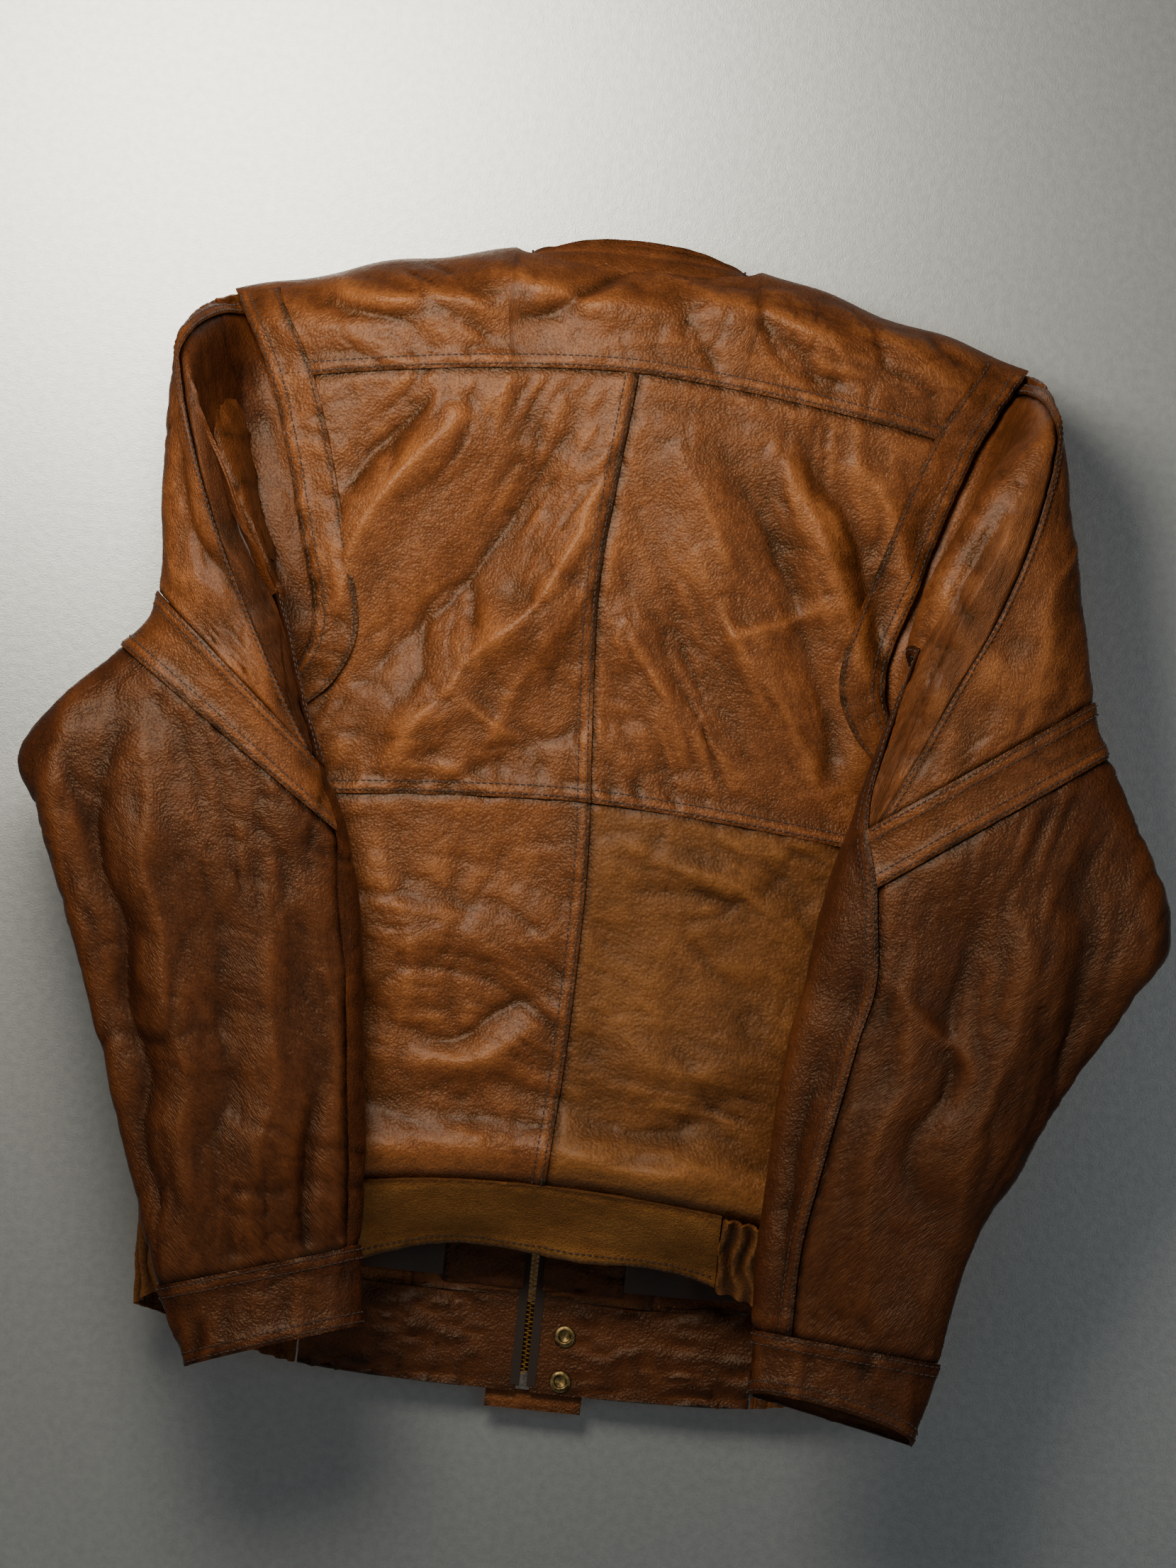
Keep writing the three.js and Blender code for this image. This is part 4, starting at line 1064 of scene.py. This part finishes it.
def front_panels():
    for hand, sign in HANDS:
        inner, outer = INNER_OUTER[hand]
        left, right = sides(sign, steady(ZIP_HALF), body_edge)
        sewn(
            f"front_body_{hand}",
            body_patch(1, left, right, front_neck, lambda x: front_band_top(x) - 4, step=STEP * 1.25),
            BROWN, "torso", [f"front_panel_{hand}"], seed=23, over=(inner,),
            under=("bottom", outer), calm=calm_by_zip,
        )
        left, right = sides(sign, steady(ZIP_HALF + 1.5), steady(ZIP_HALF + FACING_WIDTH))
        facing = body_patch(
            1, left, right, steady(FACING_TOP), lambda x: front_band_top(x) + 2, inset=FACING_INSET,
        )
        sewn(
            f"front_edge_facing_{hand}", Patch(facing.grid, -1), DARK, "torso",
            [f"front_facing_{hand}"], seed=29, rumple=0.35, over=(outer,), extra=crinkled,
        )
        left, right = sides(
            sign, steady(ZIP_HALF + FACING_WIDTH),
            lambda z: np.minimum(body_edge(z) - 3, body_half(z) - 18),
        )
        lining = body_patch(
            1, left, right,
            lambda x: np.minimum(shoulder_line(x) - SHOULDER_ROUND, NECK_Z - NECK_DROP_FRONT) - 16,
            lambda x: front_band_top(x) + 6, step=LINING_STEP, inset=FRONT_LINING_INSET,
        )
        sewn(
            f"front_lining_satin_{hand}", Patch(lining.grid, -1), SATIN_CLOTH, "torso",
            [f"front_lining_{hand}"], thick=SATIN, seed=33, rumple=0.3, extra=satin_folds,
        )

    def edge(z):
        return np.minimum(body_edge(z), body_half(z) - 18) - 3

    lining = body_patch(
        -1, lambda z: -edge(z), edge, lambda x: shoulder_line(x) - SHOULDER_ROUND - 4,
        lambda x: back_band_top(x) + 6, step=LINING_STEP, inset=BACK_LINING_INSET,
    )
    sewn(
        "back_lining_satin", Patch(lining.grid, 1), SATIN_CLOTH, "torso",
        ["back_lining"], thick=SATIN, seed=35, rumple=0.3, extra=satin_folds,
    )


# ---- Waistband -------------------------------------------------------------------------------------
BAND_SHARES = (0, 0.23, 0.45, 0.76, 0.93)
FRONT_SHARES = (0.93, 0.76, 0.57, 0.28, 0)


def band_curves():
    """The waistband's seam and hem on the right half, from the centre back round to the centre front."""
    seam, hem = [], []
    for k in BAND_SHARES:
        x = k * HEM_HALF
        tuck = BAND_TUCK * (1 - k**2 * 0.6)
        fall = math.sqrt(BAND_HEIGHT**2 - tuck**2)
        seam.append(body_point(-1, x, back_band_top(x) - 0.5))
        hem.append(body_point(-1, x, back_band_top(x) - fall) + (0, tuck, 0))
    seam.append(np.array((HEM_HALF, 0, back_band_top(HEM_HALF) - 0.5)))
    hem.append(np.array((HEM_HALF - 3, 8, back_band_top(HEM_HALF) - BAND_HEIGHT)))
    for k in FRONT_SHARES:
        x = k * HEM_HALF
        seam.append(body_point(1, x, front_band_top(x) - 0.5))
        hem.append(body_point(1, x, front_band_top(x) - BAND_HEIGHT))
    return tuple(through([(i, p) for i, p in enumerate(line)]) for line in (seam, hem))


BAND_SEAM, BAND_HEM = band_curves()
BAND_ENDS = (0, 5, 10)  # centre back, side and centre front, along the band's curves


def band_share(curve, x, front):
    """How far along the curve its x is this wide."""
    first = 1 if front else 0
    at = np.linspace(BAND_ENDS[first], BAND_ENDS[first + 1], 400)
    widths = curve(at)[:, 0]
    order = np.argsort(widths)
    return float(np.interp(x, widths[order], at[order]))


def band_patch(sign, from_x, from_front, to_x, to_front, step=STEP, reach=(0.0, 1.0)):
    limits = [
        (band_share(c, from_x, from_front), band_share(c, to_x, to_front)) for c in (BAND_SEAM, BAND_HEM)
    ]

    def at(a, b):
        a = a if sign > 0 else 1 - a
        top = BAND_SEAM(lerp(*limits[0], a))
        hem = BAND_HEM(lerp(*limits[1], a))
        return lerp(top, hem, lerp(*reach, b)[..., None]) * (sign, 1, 1)

    return Patch(even_grid(at, step), -1)


RIPPLE_PITCH = 10.5


def gathered(base):
    """Leather drawn up by elastic: upright ripples, uneven in width."""
    around = edge_distance(base, "left")
    wobble = lattice_noise(base, 22, 41) * 5
    ripple = 2.3 * np.sin((around + wobble) * 2 * np.pi / RIPPLE_PITCH)
    return ripple * (0.75 + 0.25 * lattice_noise(base, 18, 43))


def waistband():
    limits = [band_share(c, BACK_BAND_HALF, False) for c in (BAND_SEAM, BAND_HEM)]

    def at(a, b):
        a = 2 * a - 1
        top = BAND_SEAM(limits[0] * np.abs(a))
        hem = BAND_HEM(limits[1] * np.abs(a))
        point = lerp(top, hem, b[..., None] + 0 * top)
        point[..., 0] *= np.where(a < 0, -1, 1)
        return point

    def wavy(base):
        down = smoothstep(BAND_Z - 20, BAND_Z - 54, base[..., 2])
        return down * 4.5 * np.sin(base[..., 0] / 24 + 0.6) - 1.0

    sewn(
        "waistband_back", Patch(even_grid(at, STEP), -1), SUEDED_PAINTED_LIGHTER, "torso",
        ["back_waistband"], thick=DOUBLED, rumple=0.45, over=("bottom",), under=("top",), extra=wavy,
    )
    for hand, sign in HANDS:
        sewn(
            f"waistband_elastic_{hand}",
            band_patch(sign, BACK_BAND_HALF + 1, False, FRONT_BAND_HALF + 1, True, STEP * 0.75), TAN,
            "torso", [f"side_elastic_{hand}"], thick=DOUBLED, rumple=0.3, extra=gathered,
        )
        sewn(
            f"waistband_front_{hand}", band_patch(sign, FRONT_BAND_HALF, True, ZIP_HALF, True), DARK,
            "torso", [f"front_waistband_{hand}"], thick=DOUBLED, rumple=0.35, seed=45,
            over=("top", "bottom"), extra=crinkled, calm=calm_by_zip,
        )


# ---- Collar and loop -------------------------------------------------------------------------------


COLLAR_ARCH, COLLAR_FRONT, COLLAR_LEAN = 25, 14, 14


def collar():
    right = [body_point(-1, k * NECK_HALF, back_neck(k * NECK_HALF) - 0.5) for k in (0, 0.35, 0.7, 0.92)]
    right.append(np.array((NECK_HALF, 0.0, NECK_Z)))
    right += [
        body_point(1, k * NECK_HALF, front_neck(k * NECK_HALF) - 1) for k in (0.93, 0.75, 0.5, 0.25, 0.09)
    ]
    left = [p * (-1, 1, 1) for p in right[:0:-1]]
    foot_line = through([(i, p) for i, p in enumerate(left + right)])
    last = len(left + right) - 1

    def layer(inset, share):
        def at(a, b):
            foot = foot_line(lerp(0.01, 0.99, a) * last) + 0 * b[..., None]
            front = smoothstep(0, 30, foot[..., 1])
            side = foot[..., 0] / NECK_HALF
            arch = COLLAR_ARCH * np.sqrt(np.maximum(0, 1 - (side / 0.92) ** 2)) - 5
            rise = lerp(arch, COLLAR_FRONT, front) * share * b - 6 * (1 - b)
            lean = lerp(COLLAR_LEAN, 0, front) * np.clip(b, 0, 1) ** 1.5
            out = unit(np.stack([foot[..., 0], foot[..., 1] - 6, 0 * side], -1))
            return foot + np.stack([0 * side, lean, rise], -1) - out * inset

        return Patch(even_grid(at, STEP * 0.9), -1)

    for name, inset, share in (("outer", 2.0, 0.78), ("inner", 8.6, 1.0)):
        sewn(
            f"collar_leaf_{name}", layer(inset, share), BROWN, "torso",
            [f"collar_{name}"], rumple=0.35, seed=47, over=("bottom",),
        )


# ---- Sleeves ---------------------------------------------------------------------------------------


def shoulder_bend(hand):
    """The bend at the sleeve head, between the armhole and the sleeve, which hangs behind it: its two
    bodies and two points.
    """
    side = -SHOULDER_HALF if hand == "left" else SHOULDER_HALF
    return Bend("torso", f"{hand}_upper_sleeve", (side, -47, -150), (side, -62, -150))


def elbow_bend(hand):
    """The bend at the elbow, from the upper seam of its band downwards: its two bodies and two points."""
    sign = -1 if hand == "left" else 1
    outer, inner = SLEEVES[hand]["outer"](BAND_TOP), SLEEVES[hand]["inner"](BAND_TOP)
    middle = (outer + inner) / 2
    along = unit(outer - inner)
    down = np.array((sign * along[2], 0, -sign * along[0]))
    down = down * (-1 if down[2] > 0 else 1)
    end = middle + down * 90
    return Bend(f"{hand}_upper_sleeve", f"{hand}_forearm", tuple(middle), tuple(end))


def cuff_gathers(base):
    """Small pleats where the cuff draws the sleeve in."""
    return 1.2 * lattice_noise(base * (1, 1, 0.35), 9, 63) + 0.8 * creases(base, 14, 67)


CUFF_OPENS, CUFF_TAB_END, LINING_WRAP = 200.0, 260.0, 176.0  # degrees round the sleeve


def sleeves():
    for hand, sign in HANDS:
        wrap = UNDER_END - 360
        under, seam = under_start(hand), long_seam(hand)
        shoulder, elbow = shoulder_bend(hand), elbow_bend(hand)
        folds = SLEEVE_FOLDS[hand]
        sewn(
            f"sleeve_outer_{hand}", sleeve_patch(hand, -1, BAND_TOP, steady(wrap), seam), BROWN,
            shoulder, [f"sleeve_top_outer_{hand}", f"sleeve_head_{hand}"], folds=folds,
            drag=-sign * 20, over=("right",), under=("bottom", "top"),
        )
        sewn(
            f"sleeve_inner_{hand}", sleeve_patch(hand, -1, BAND_TOP, seam, under),
            DARK if sign < 0 else BROWN, shoulder, [f"sleeve_top_inner_{hand}"],
            folds=folds, drag=-sign * 20, under=("bottom", "left", "top"),
        )
        sewn(
            f"sleeve_under_upper_{hand}", sleeve_patch(hand, -1, BAND_TOP, under, steady(UNDER_END)),
            DARK, shoulder, folds=folds, over=("left",), under=("top",),
        )
        sewn(
            f"sleeve_under_lower_{hand}",
            sleeve_patch(hand, BAND_TOP, CUFF_SEAM, under, steady(UNDER_END)), DARK,
            elbow, [f"under_sleeve_{hand}"], folds=folds, over=("left",) if hand == "right" else (),
            under=("bottom",),
        )
        sewn(
            f"sleeve_elbow_band_{hand}", sleeve_patch(hand, BAND_TOP, BAND_BOTTOM, steady(wrap), under),
            BROWN, elbow, [f"elbow_band_{hand}"], folds=folds, rumple=0.8,
            over=("top", "bottom"),
        )
        sewn(
            f"sleeve_forearm_{hand}", sleeve_patch(hand, BAND_BOTTOM, CUFF_SEAM, steady(wrap), under),
            DARK, elbow, [f"forearm_{hand}"], folds=folds, drag=-sign * 11,
            under=("top", "bottom", "right"),
        )
        sewn(
            f"sleeve_cuff_{hand}",
            sleeve_patch(
                hand, CUFF_SEAM, CUFF_EDGE, steady(CUFF_OPENS - 360), steady(CUFF_OPENS - 2),
                short=0.2 if sign > 0 else 0.03,
            ),
            DARK, f"{hand}_forearm", [f"cuff_{hand}"], thick=DOUBLED, rumple=0.5,
            over=("top", "bottom"), extra=cuff_gathers, pucker=1.6,
        )
        lining = sleeve_patch(
            hand, 0.3, CUFF_SEAM + 0.25, steady(-LINING_WRAP), steady(LINING_WRAP), LINING_STEP,
            inset=11,
        )
        sewn(
            f"sleeve_lining_satin_{hand}", lining, SATIN_CLOTH, elbow,
            [f"sleeve_lining_{hand}"], thick=SATIN, rumple=0.35, seed=53,
        )
        tab = sleeve_patch(
            hand, CUFF_SEAM + 0.2, CUFF_SEAM + 0.85, steady(CUFF_OPENS), steady(CUFF_TAB_END),
            STEP * 0.6, inset=-2.4,
        )
        sewn(
            f"cuff_strap_{hand}", tab, DARK, f"{hand}_cuff_tab", [f"cuff_tab_{hand}"],
            rumple=0.2, over=("top", "bottom"),
        )


# ---- Pockets ---------------------------------------------------------------------------------------
POCKET_X, POCKET_Z, POCKET_LENGTH, WELT_WIDTH = 128.0, -500.0, 150.0, 22.0
POCKET_SLANT = math.radians(24)


def pockets():
    for hand, sign in HANDS:
        across = np.array((math.cos(POCKET_SLANT), math.sin(POCKET_SLANT)))
        down = np.array((math.sin(POCKET_SLANT), -math.cos(POCKET_SLANT)))

        def welt_at(a, b, sign=sign):
            a = a if sign > 0 else 1 - a
            sideways = (a - 0.5)[..., None] * WELT_WIDTH * across
            along = sideways + (b - 0.5)[..., None] * POCKET_LENGTH * down
            return body_point(1, sign * (POCKET_X + along[..., 0]), POCKET_Z + along[..., 1], -3.2)

        sewn(
            f"pocket_opening_welt_{hand}", Patch(even_grid(welt_at, STEP * 0.8), 1), BROWN,
            "torso", [f"pocket_welt_{hand}"], rumple=0.35, seed=23,
            over=("left", "right"),
        )

        def bag_at(a, b, sign=sign):
            a = a if sign > 0 else 1 - a
            x = lerp(POCKET_X - 45, POCKET_X + 40, a) + 0 * b
            z = lerp(POCKET_Z + POCKET_LENGTH * 0.3, POCKET_Z - POCKET_LENGTH * 0.62, b) + 0 * a
            return body_point(1, sign * x, z, 4.2)

        sewn(
            f"pocket_pouch_{hand}", Patch(even_grid(bag_at, LINING_STEP), 1), SATIN_CLOTH,
            "torso", [f"pocket_bag_{hand}"], thick=SATIN, rumple=0.1,
        )


# ---- Metal pieces ----------------------------------------------------------------------------------


def joined_faces():
    bpy.ops.mesh.select_all(action="SELECT")
    bpy.ops.mesh.remove_doubles(threshold=1e-6)
    bpy.ops.mesh.normals_make_consistent(inside=False)
    bpy.ops.object.mode_set(mode="OBJECT")


def turned(name, profile, centre, direction, sides=36):
    """A turned or stamped round piece: a disc, extruded and widened ring by ring up its profile.

    The profile is (radius, height) in millimetres, from the edge of its flat foot to its crown."""
    (first, base), rest = profile[0], profile[1:]
    bpy.ops.mesh.primitive_circle_add(
        vertices=sides, radius=first / 1000, fill_type="NGON", location=(0, 0, base / 1000),
    )
    piece = bpy.context.object
    piece.name = piece.data.name = name
    bpy.ops.object.transform_apply(location=True)
    bpy.ops.object.mode_set(mode="EDIT")
    bpy.ops.mesh.select_all(action="SELECT")
    radius, height = first, base
    for next_radius, next_height in rest:
        bpy.ops.mesh.extrude_region_move(
            TRANSFORM_OT_translate={"value": (0, 0, (next_height - height) / 1000)}
        )
        k = next_radius / radius
        bpy.ops.transform.resize(value=(k, k, 1))
        radius, height = next_radius, next_height
    joined_faces()
    turn = Vector((0, 0, 1)).rotation_difference(Vector(direction)).to_matrix().to_4x4()
    piece.data.transform(Matrix.Translation(frame_place(*centre)) @ turn)
    smooth(piece, 40)
    return piece


SNAP_RING = [(3.4, 0.0), (7.0, 0.0), (7.3, 0.35), (7.0, 0.8), (6.2, 1.05), (5.3, 1.3), (4.6, 1.35)]
SNAP_WELL = [(4.1, 1.1), (3.7, 0.6), (3.2, 0.35), (1.6, 0.3), (1.2, 0.1)]
SNAP_CAP = [(6.6, 0.0), (7.4, 0.15), (7.5, 0.6), (7.1, 1.1), (6.2, 1.6), (4.6, 2.05), (2.6, 2.3)]
SNAP_CAP.append((0.8, 2.38))
CUFF_SNAP_SHARE = 0.85  # of the waist tab's snaps
CUFF_SNAP_DEGREES = np.array([[210.0, 226.0], [210.0, 226.0]])
CUFF_SNAP_STATIONS = np.array([[8.42, 8.42], [8.62, 8.62]])


def metal(piece, finish, slot, body, *nodes):
    piece.data.materials.append(finish)
    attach(piece, body)
    if nodes:
        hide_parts(*nodes)


ZIP_TOP = NECK_Z - NECK_DROP_FRONT - 6
ZIP_BOTTOM = BAND_Z - FRONT_DROP - BAND_HEIGHT + 4
ZIP_Y = BODY_DEPTH + 0.5
TAB_TOP = BAND_Z - FRONT_DROP - 6
TAB_HEIGHT = BAND_HEIGHT + 6
TAB_Y = ZIP_Y + 3.7
SNAP_X = 3 + 0.5 + TAPE_WIDTH + 1.5 + SNAP_RADIUS


def snaps():
    for i, level in enumerate(("upper", "lower")):
        z = TAB_TOP - TAB_HEIGHT / 2 + SNAP_SPACING * (0.5 - i)
        ring = turned(
            f"snap_ring_{level}", SNAP_RING + SNAP_WELL, (SNAP_X, ZIP_Y - DOUBLED - 0.9, z), (0, -1, 0),
        )
        metal(ring, SNAP_BRASS, "snap_brass", "torso", f"waist_snap_back_{level}")
        cap = turned(f"snap_cap_{level}", SNAP_CAP, (SNAP_X, TAB_Y + DOUBLED + 0.3, z), (0, 1, 0))
        metal(cap, SNAP_BRASS, "snap_brass", "waist_tab", f"waist_snap_cap_{level}")
    for hand, sign in HANDS:
        grid = sleeve_point(hand, CUFF_SNAP_DEGREES, CUFF_SNAP_STATIONS, -2.4)
        normal = normals_of(grid, -1 if hand == "left" else 1)[0, 0]
        place = grid.mean(axis=(0, 1)) + normal * 0.6
        profile = [(r * CUFF_SNAP_SHARE, h) for r, h in SNAP_CAP]
        cap = turned(f"cuff_snap_{hand}", profile, place, tuple(normal))
        metal(cap, SNAP_BRASS, "snap_brass", f"{hand}_cuff_tab", f"cuff_snap_cap_{hand}")


def repeated(name, template, places):
    """One mesh of copies of a template object at places, which replaces it."""
    source = template.data
    points = np.empty(len(source.vertices) * 3, np.float32)
    source.vertices.foreach_get("co", points)
    points = points.reshape(-1, 3).astype(float)
    faces = [tuple(p.vertices) for p in source.polygons]
    every = [tuple(v + n * len(points) for v in face) for n in range(len(places)) for face in faces]
    moved = points[None] + np.asarray([in_frame(p) for p in places])[:, None]
    mesh = bpy.data.meshes.new(name)
    mesh.from_pydata(moved.reshape(-1, 3).tolist(), [], every)
    piece = bpy.data.objects.new(name, mesh)
    scene.collection.objects.link(piece)
    bpy.data.objects.remove(template)
    smooth(piece, 40)
    return piece


def tooth(side):
    """A stamped zip tooth: a block with bevelled edges that reaches over the centre."""
    bpy.ops.mesh.primitive_cube_add(size=1, location=(side * 1.4 / 1000, 0, 0))
    block = bpy.context.object
    block.scale = (4.4 / 1000, 2.6 / 1000, 1.35 / 1000)
    bpy.ops.object.transform_apply(location=True, scale=True)
    bpy.ops.object.mode_set(mode="EDIT")
    bpy.ops.mesh.select_all(action="SELECT")
    bpy.ops.mesh.bevel(offset=0.00035, segments=1)
    joined_faces()
    return block


def zip_parts():
    for hand, sign in HANDS:
        shift = TOOTH_PITCH / 2 if sign > 0 else 0
        levels = np.arange(ZIP_BOTTOM + 8 + shift, ZIP_TOP - 4, TOOTH_PITCH)
        teeth = repeated(f"zip_tooth_row_{hand}", tooth(sign), [(0, ZIP_Y - 0.8, z) for z in levels])
        metal(teeth, ZIP_BRASS, "zip_brass", "torso", f"zip_teeth_{hand}")
        bpy.ops.mesh.primitive_cube_add(size=1)
        tape = bpy.context.object
        tape.name = tape.data.name = f"zip_tape_band_{hand}"
        length = ZIP_TOP - ZIP_BOTTOM
        tape.scale = (TAPE_WIDTH / 2000, 0.7 / 1000, length / 1000)
        middle = (ZIP_TOP + ZIP_BOTTOM) / 2
        tape.location = frame_place(sign * (2.5 + TAPE_WIDTH / 4), ZIP_Y - DOUBLED - 0.4, middle)
        bpy.ops.object.transform_apply(location=True, scale=True)
        bpy.ops.object.mode_set(mode="EDIT")
        bpy.ops.mesh.select_all(action="SELECT")
        bpy.ops.mesh.bevel(offset=0.0002, segments=2)
        joined_faces()
        metal(tape, TAPE, "zip_tape", "torso", f"zip_tape_{hand}")


def carried_over():
    """CAD pieces whose shape is already right get their finish."""
    finishes = {
        "hanger_loop": LOOP_LEATHER, "zip_bottom_box": STEEL, "zip_slider": STEEL, "zip_puller": STEEL,
    }
    for name, finish in finishes.items():
        piece = bpy.data.objects[name]
        piece.data.materials.clear()
        piece.data.materials.append(finish)


def waist_tab():
    """The tab that closes the waistband in front, sewn round its edge."""
    low, high = (np.array(corner) * 1000 - (0, CENTRE_Y, RISE_Z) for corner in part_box("waist_tab"))

    def at(a, b):
        x = lerp(low[0], high[0], a) + 0 * b
        return np.stack([x, high[1] + 0 * x, lerp(high[2], low[2], b) + 0 * a], -1)

    sewn(
        "waist_tab_leather", Patch(even_grid(at, STEP * 0.7), 1), BROWN, "waist_tab",
        ["waist_tab"], thick=DOUBLED, seed=57, rumple=0.12, single=("left", "right", "top", "bottom"),
        pucker=0.4,
    )


def all_thread():
    for on, runs in thread.items():
        label = on if isinstance(on, str) else f"{on.above}_to_{on.below}"
        half = (len(runs) + 1) // 2 if sum(len(run[0]) for run in runs) > MOST_STITCHES else len(runs)
        for i in range(0, len(runs), half):
            piece = make_thread(f"stitches_{label}_{i // half + 1}", runs[i : i + half])
            piece.data.materials.append(THREAD)
            hold(piece, on)


# ---- Room ------------------------------------------------------------------------------------------


WALL_Y, FLOOR_Z = 0.104, -1.5


def backdrop():
    """A pale wall just behind the jacket, seen only from the jacket's side."""
    bpy.ops.mesh.primitive_plane_add(size=7, location=(0, WALL_Y, -0.3), rotation=(math.pi / 2, 0, 0))
    wall = bpy.context.object
    wall.name = "wall"
    material, tree, bsdf = blank_material("vinyl_wall_covering_pearl", Metallic=0.7)
    place = node(tree, "ShaderNodeTexCoord").outputs["Object"]
    bsdf.inputs["Roughness"].default_value = 0.34
    stretch = node(tree, "ShaderNodeMapping", {"Vector": place, "Scale": (180, 180, 900)}).outputs[0]
    upright = node(tree, "ShaderNodeMapping", {"Vector": place, "Scale": (900, 900, 240)}).outputs[0]
    weft = node(tree, "ShaderNodeTexNoise", {"Vector": stretch, "Scale": 1.0, "Detail": 2}).outputs["Fac"]
    warp = node(tree, "ShaderNodeTexNoise", {"Vector": upright, "Scale": 1.0, "Detail": 2}).outputs["Fac"]
    threads = node(tree, "ShaderNodeMath", {0: weft, 1: warp}, operation="ADD").outputs[0]
    shade = node(tree, "ShaderNodeMath", {0: threads, 1: 0.5}, operation="MULTIPLY").outputs[0]
    colour = ramp(tree, shade, [(0.3, linear("#959c9f")), (0.7, linear("#a3aaac"))])
    tree.links.new(colour, bsdf.inputs["Base Color"])
    bump = node(
        tree, "ShaderNodeBump", {"Height": threads, "Strength": 0.12, "Distance": 0.0005},
    ).outputs[0]
    tree.links.new(bump, bsdf.inputs["Normal"])
    side = node(tree, "ShaderNodeNewGeometry").outputs["Backfacing"]
    clear = node(tree, "ShaderNodeBsdfTransparent").outputs[0]
    both = node(tree, "ShaderNodeMixShader", {0: side, 1: bsdf.outputs[0], 2: clear}).outputs[0]
    tree.links.new(both, tree.nodes["Material Output"].inputs["Surface"])
    wall.data.materials.append(material)
    wall.visible_shadow = False
    bpy.ops.mesh.primitive_plane_add(size=9, location=(0, 0, FLOOR_Z))
    floor = bpy.context.object
    floor.name = "floor"
    pale, _, _ = blank_material("floor_screed_pale", Roughness=0.8, Base_Color=linear("#b9c0c3"))
    floor.data.materials.append(pale)


# Name, place, aim, size in metres, watts, colour and spread in degrees.
LAMPS = [
    ("key", (-0.36, -1.15, 0.2), (-0.16, 0.0, -0.08), 0.6, 8.8, "#fff0dc", 105),
    ("fill", (1.3, -2.2, -0.3), (0.0, 0.0, -0.4), 1.6, 6, "#f4f2ee", 180),
    ("low", (-0.9, -1.8, -1.3), (0.0, 0.0, -0.5), 1.0, 2, "#fff0e0", 180),
    ("behind", (0.3, 1.9, -0.4), (0.0, 0.0, -0.35), 1.6, 50, "#ffffff", 180),
]


def area_light(name, place, target, size, power, colour, spread):
    data = bpy.data.lights.new(name, "AREA")
    data.shape = "DISK"
    data.size = size
    data.spread = math.radians(spread)
    data.energy = power
    data.color = linear(colour)[:3]
    lamp = bpy.data.objects.new(name, data)
    lamp.location = place
    aim = Vector(target) - Vector(place)
    lamp.rotation_mode = "QUATERNION"
    lamp.rotation_quaternion = aim.to_track_quat("-Z", "Y")
    scene.collection.objects.link(lamp)


def lights():
    for lamp in LAMPS:
        area_light(*lamp)
    world = scene.world or bpy.data.worlds.new("room")
    scene.world = world
    world.use_nodes = True
    background = world.node_tree.nodes["Background"]
    background.inputs["Color"].default_value = linear("#c3c6c8")
    background.inputs["Strength"].default_value = 0.13


CAMERA_AWAY = 7.0  # metres from the jacket's back
VIEW_HEIGHT = 1.018  # metres of the wall that the frame takes in, at the sleeves' middle
VIEW_ROLL = math.radians(5.94)
SENSOR = 36.0


def camera():
    data = bpy.data.cameras.new("camera")
    data.sensor_width = SENSOR
    data.lens = SENSOR * CAMERA_AWAY / VIEW_HEIGHT
    eye = bpy.data.objects.new("camera", data)
    c, s = math.cos(VIEW_ROLL), math.sin(VIEW_ROLL)
    target = Vector(frame_place(2, -80, -350))
    turn = Matrix(((c, -s, 0), (0, 0, -1), (s, c, 0)))
    eye.matrix_world = Matrix.Translation(target - Vector((0, CAMERA_AWAY, 0))) @ turn.to_4x4()
    scene.collection.objects.link(eye)
    scene.camera = eye


camera()
lights()
backdrop()
yoke()
back_panels()
flanges()
front_panels()
waistband()
collar()
sleeves()
pockets()
snaps()
zip_parts()
carried_over()
waist_tab()
all_thread()
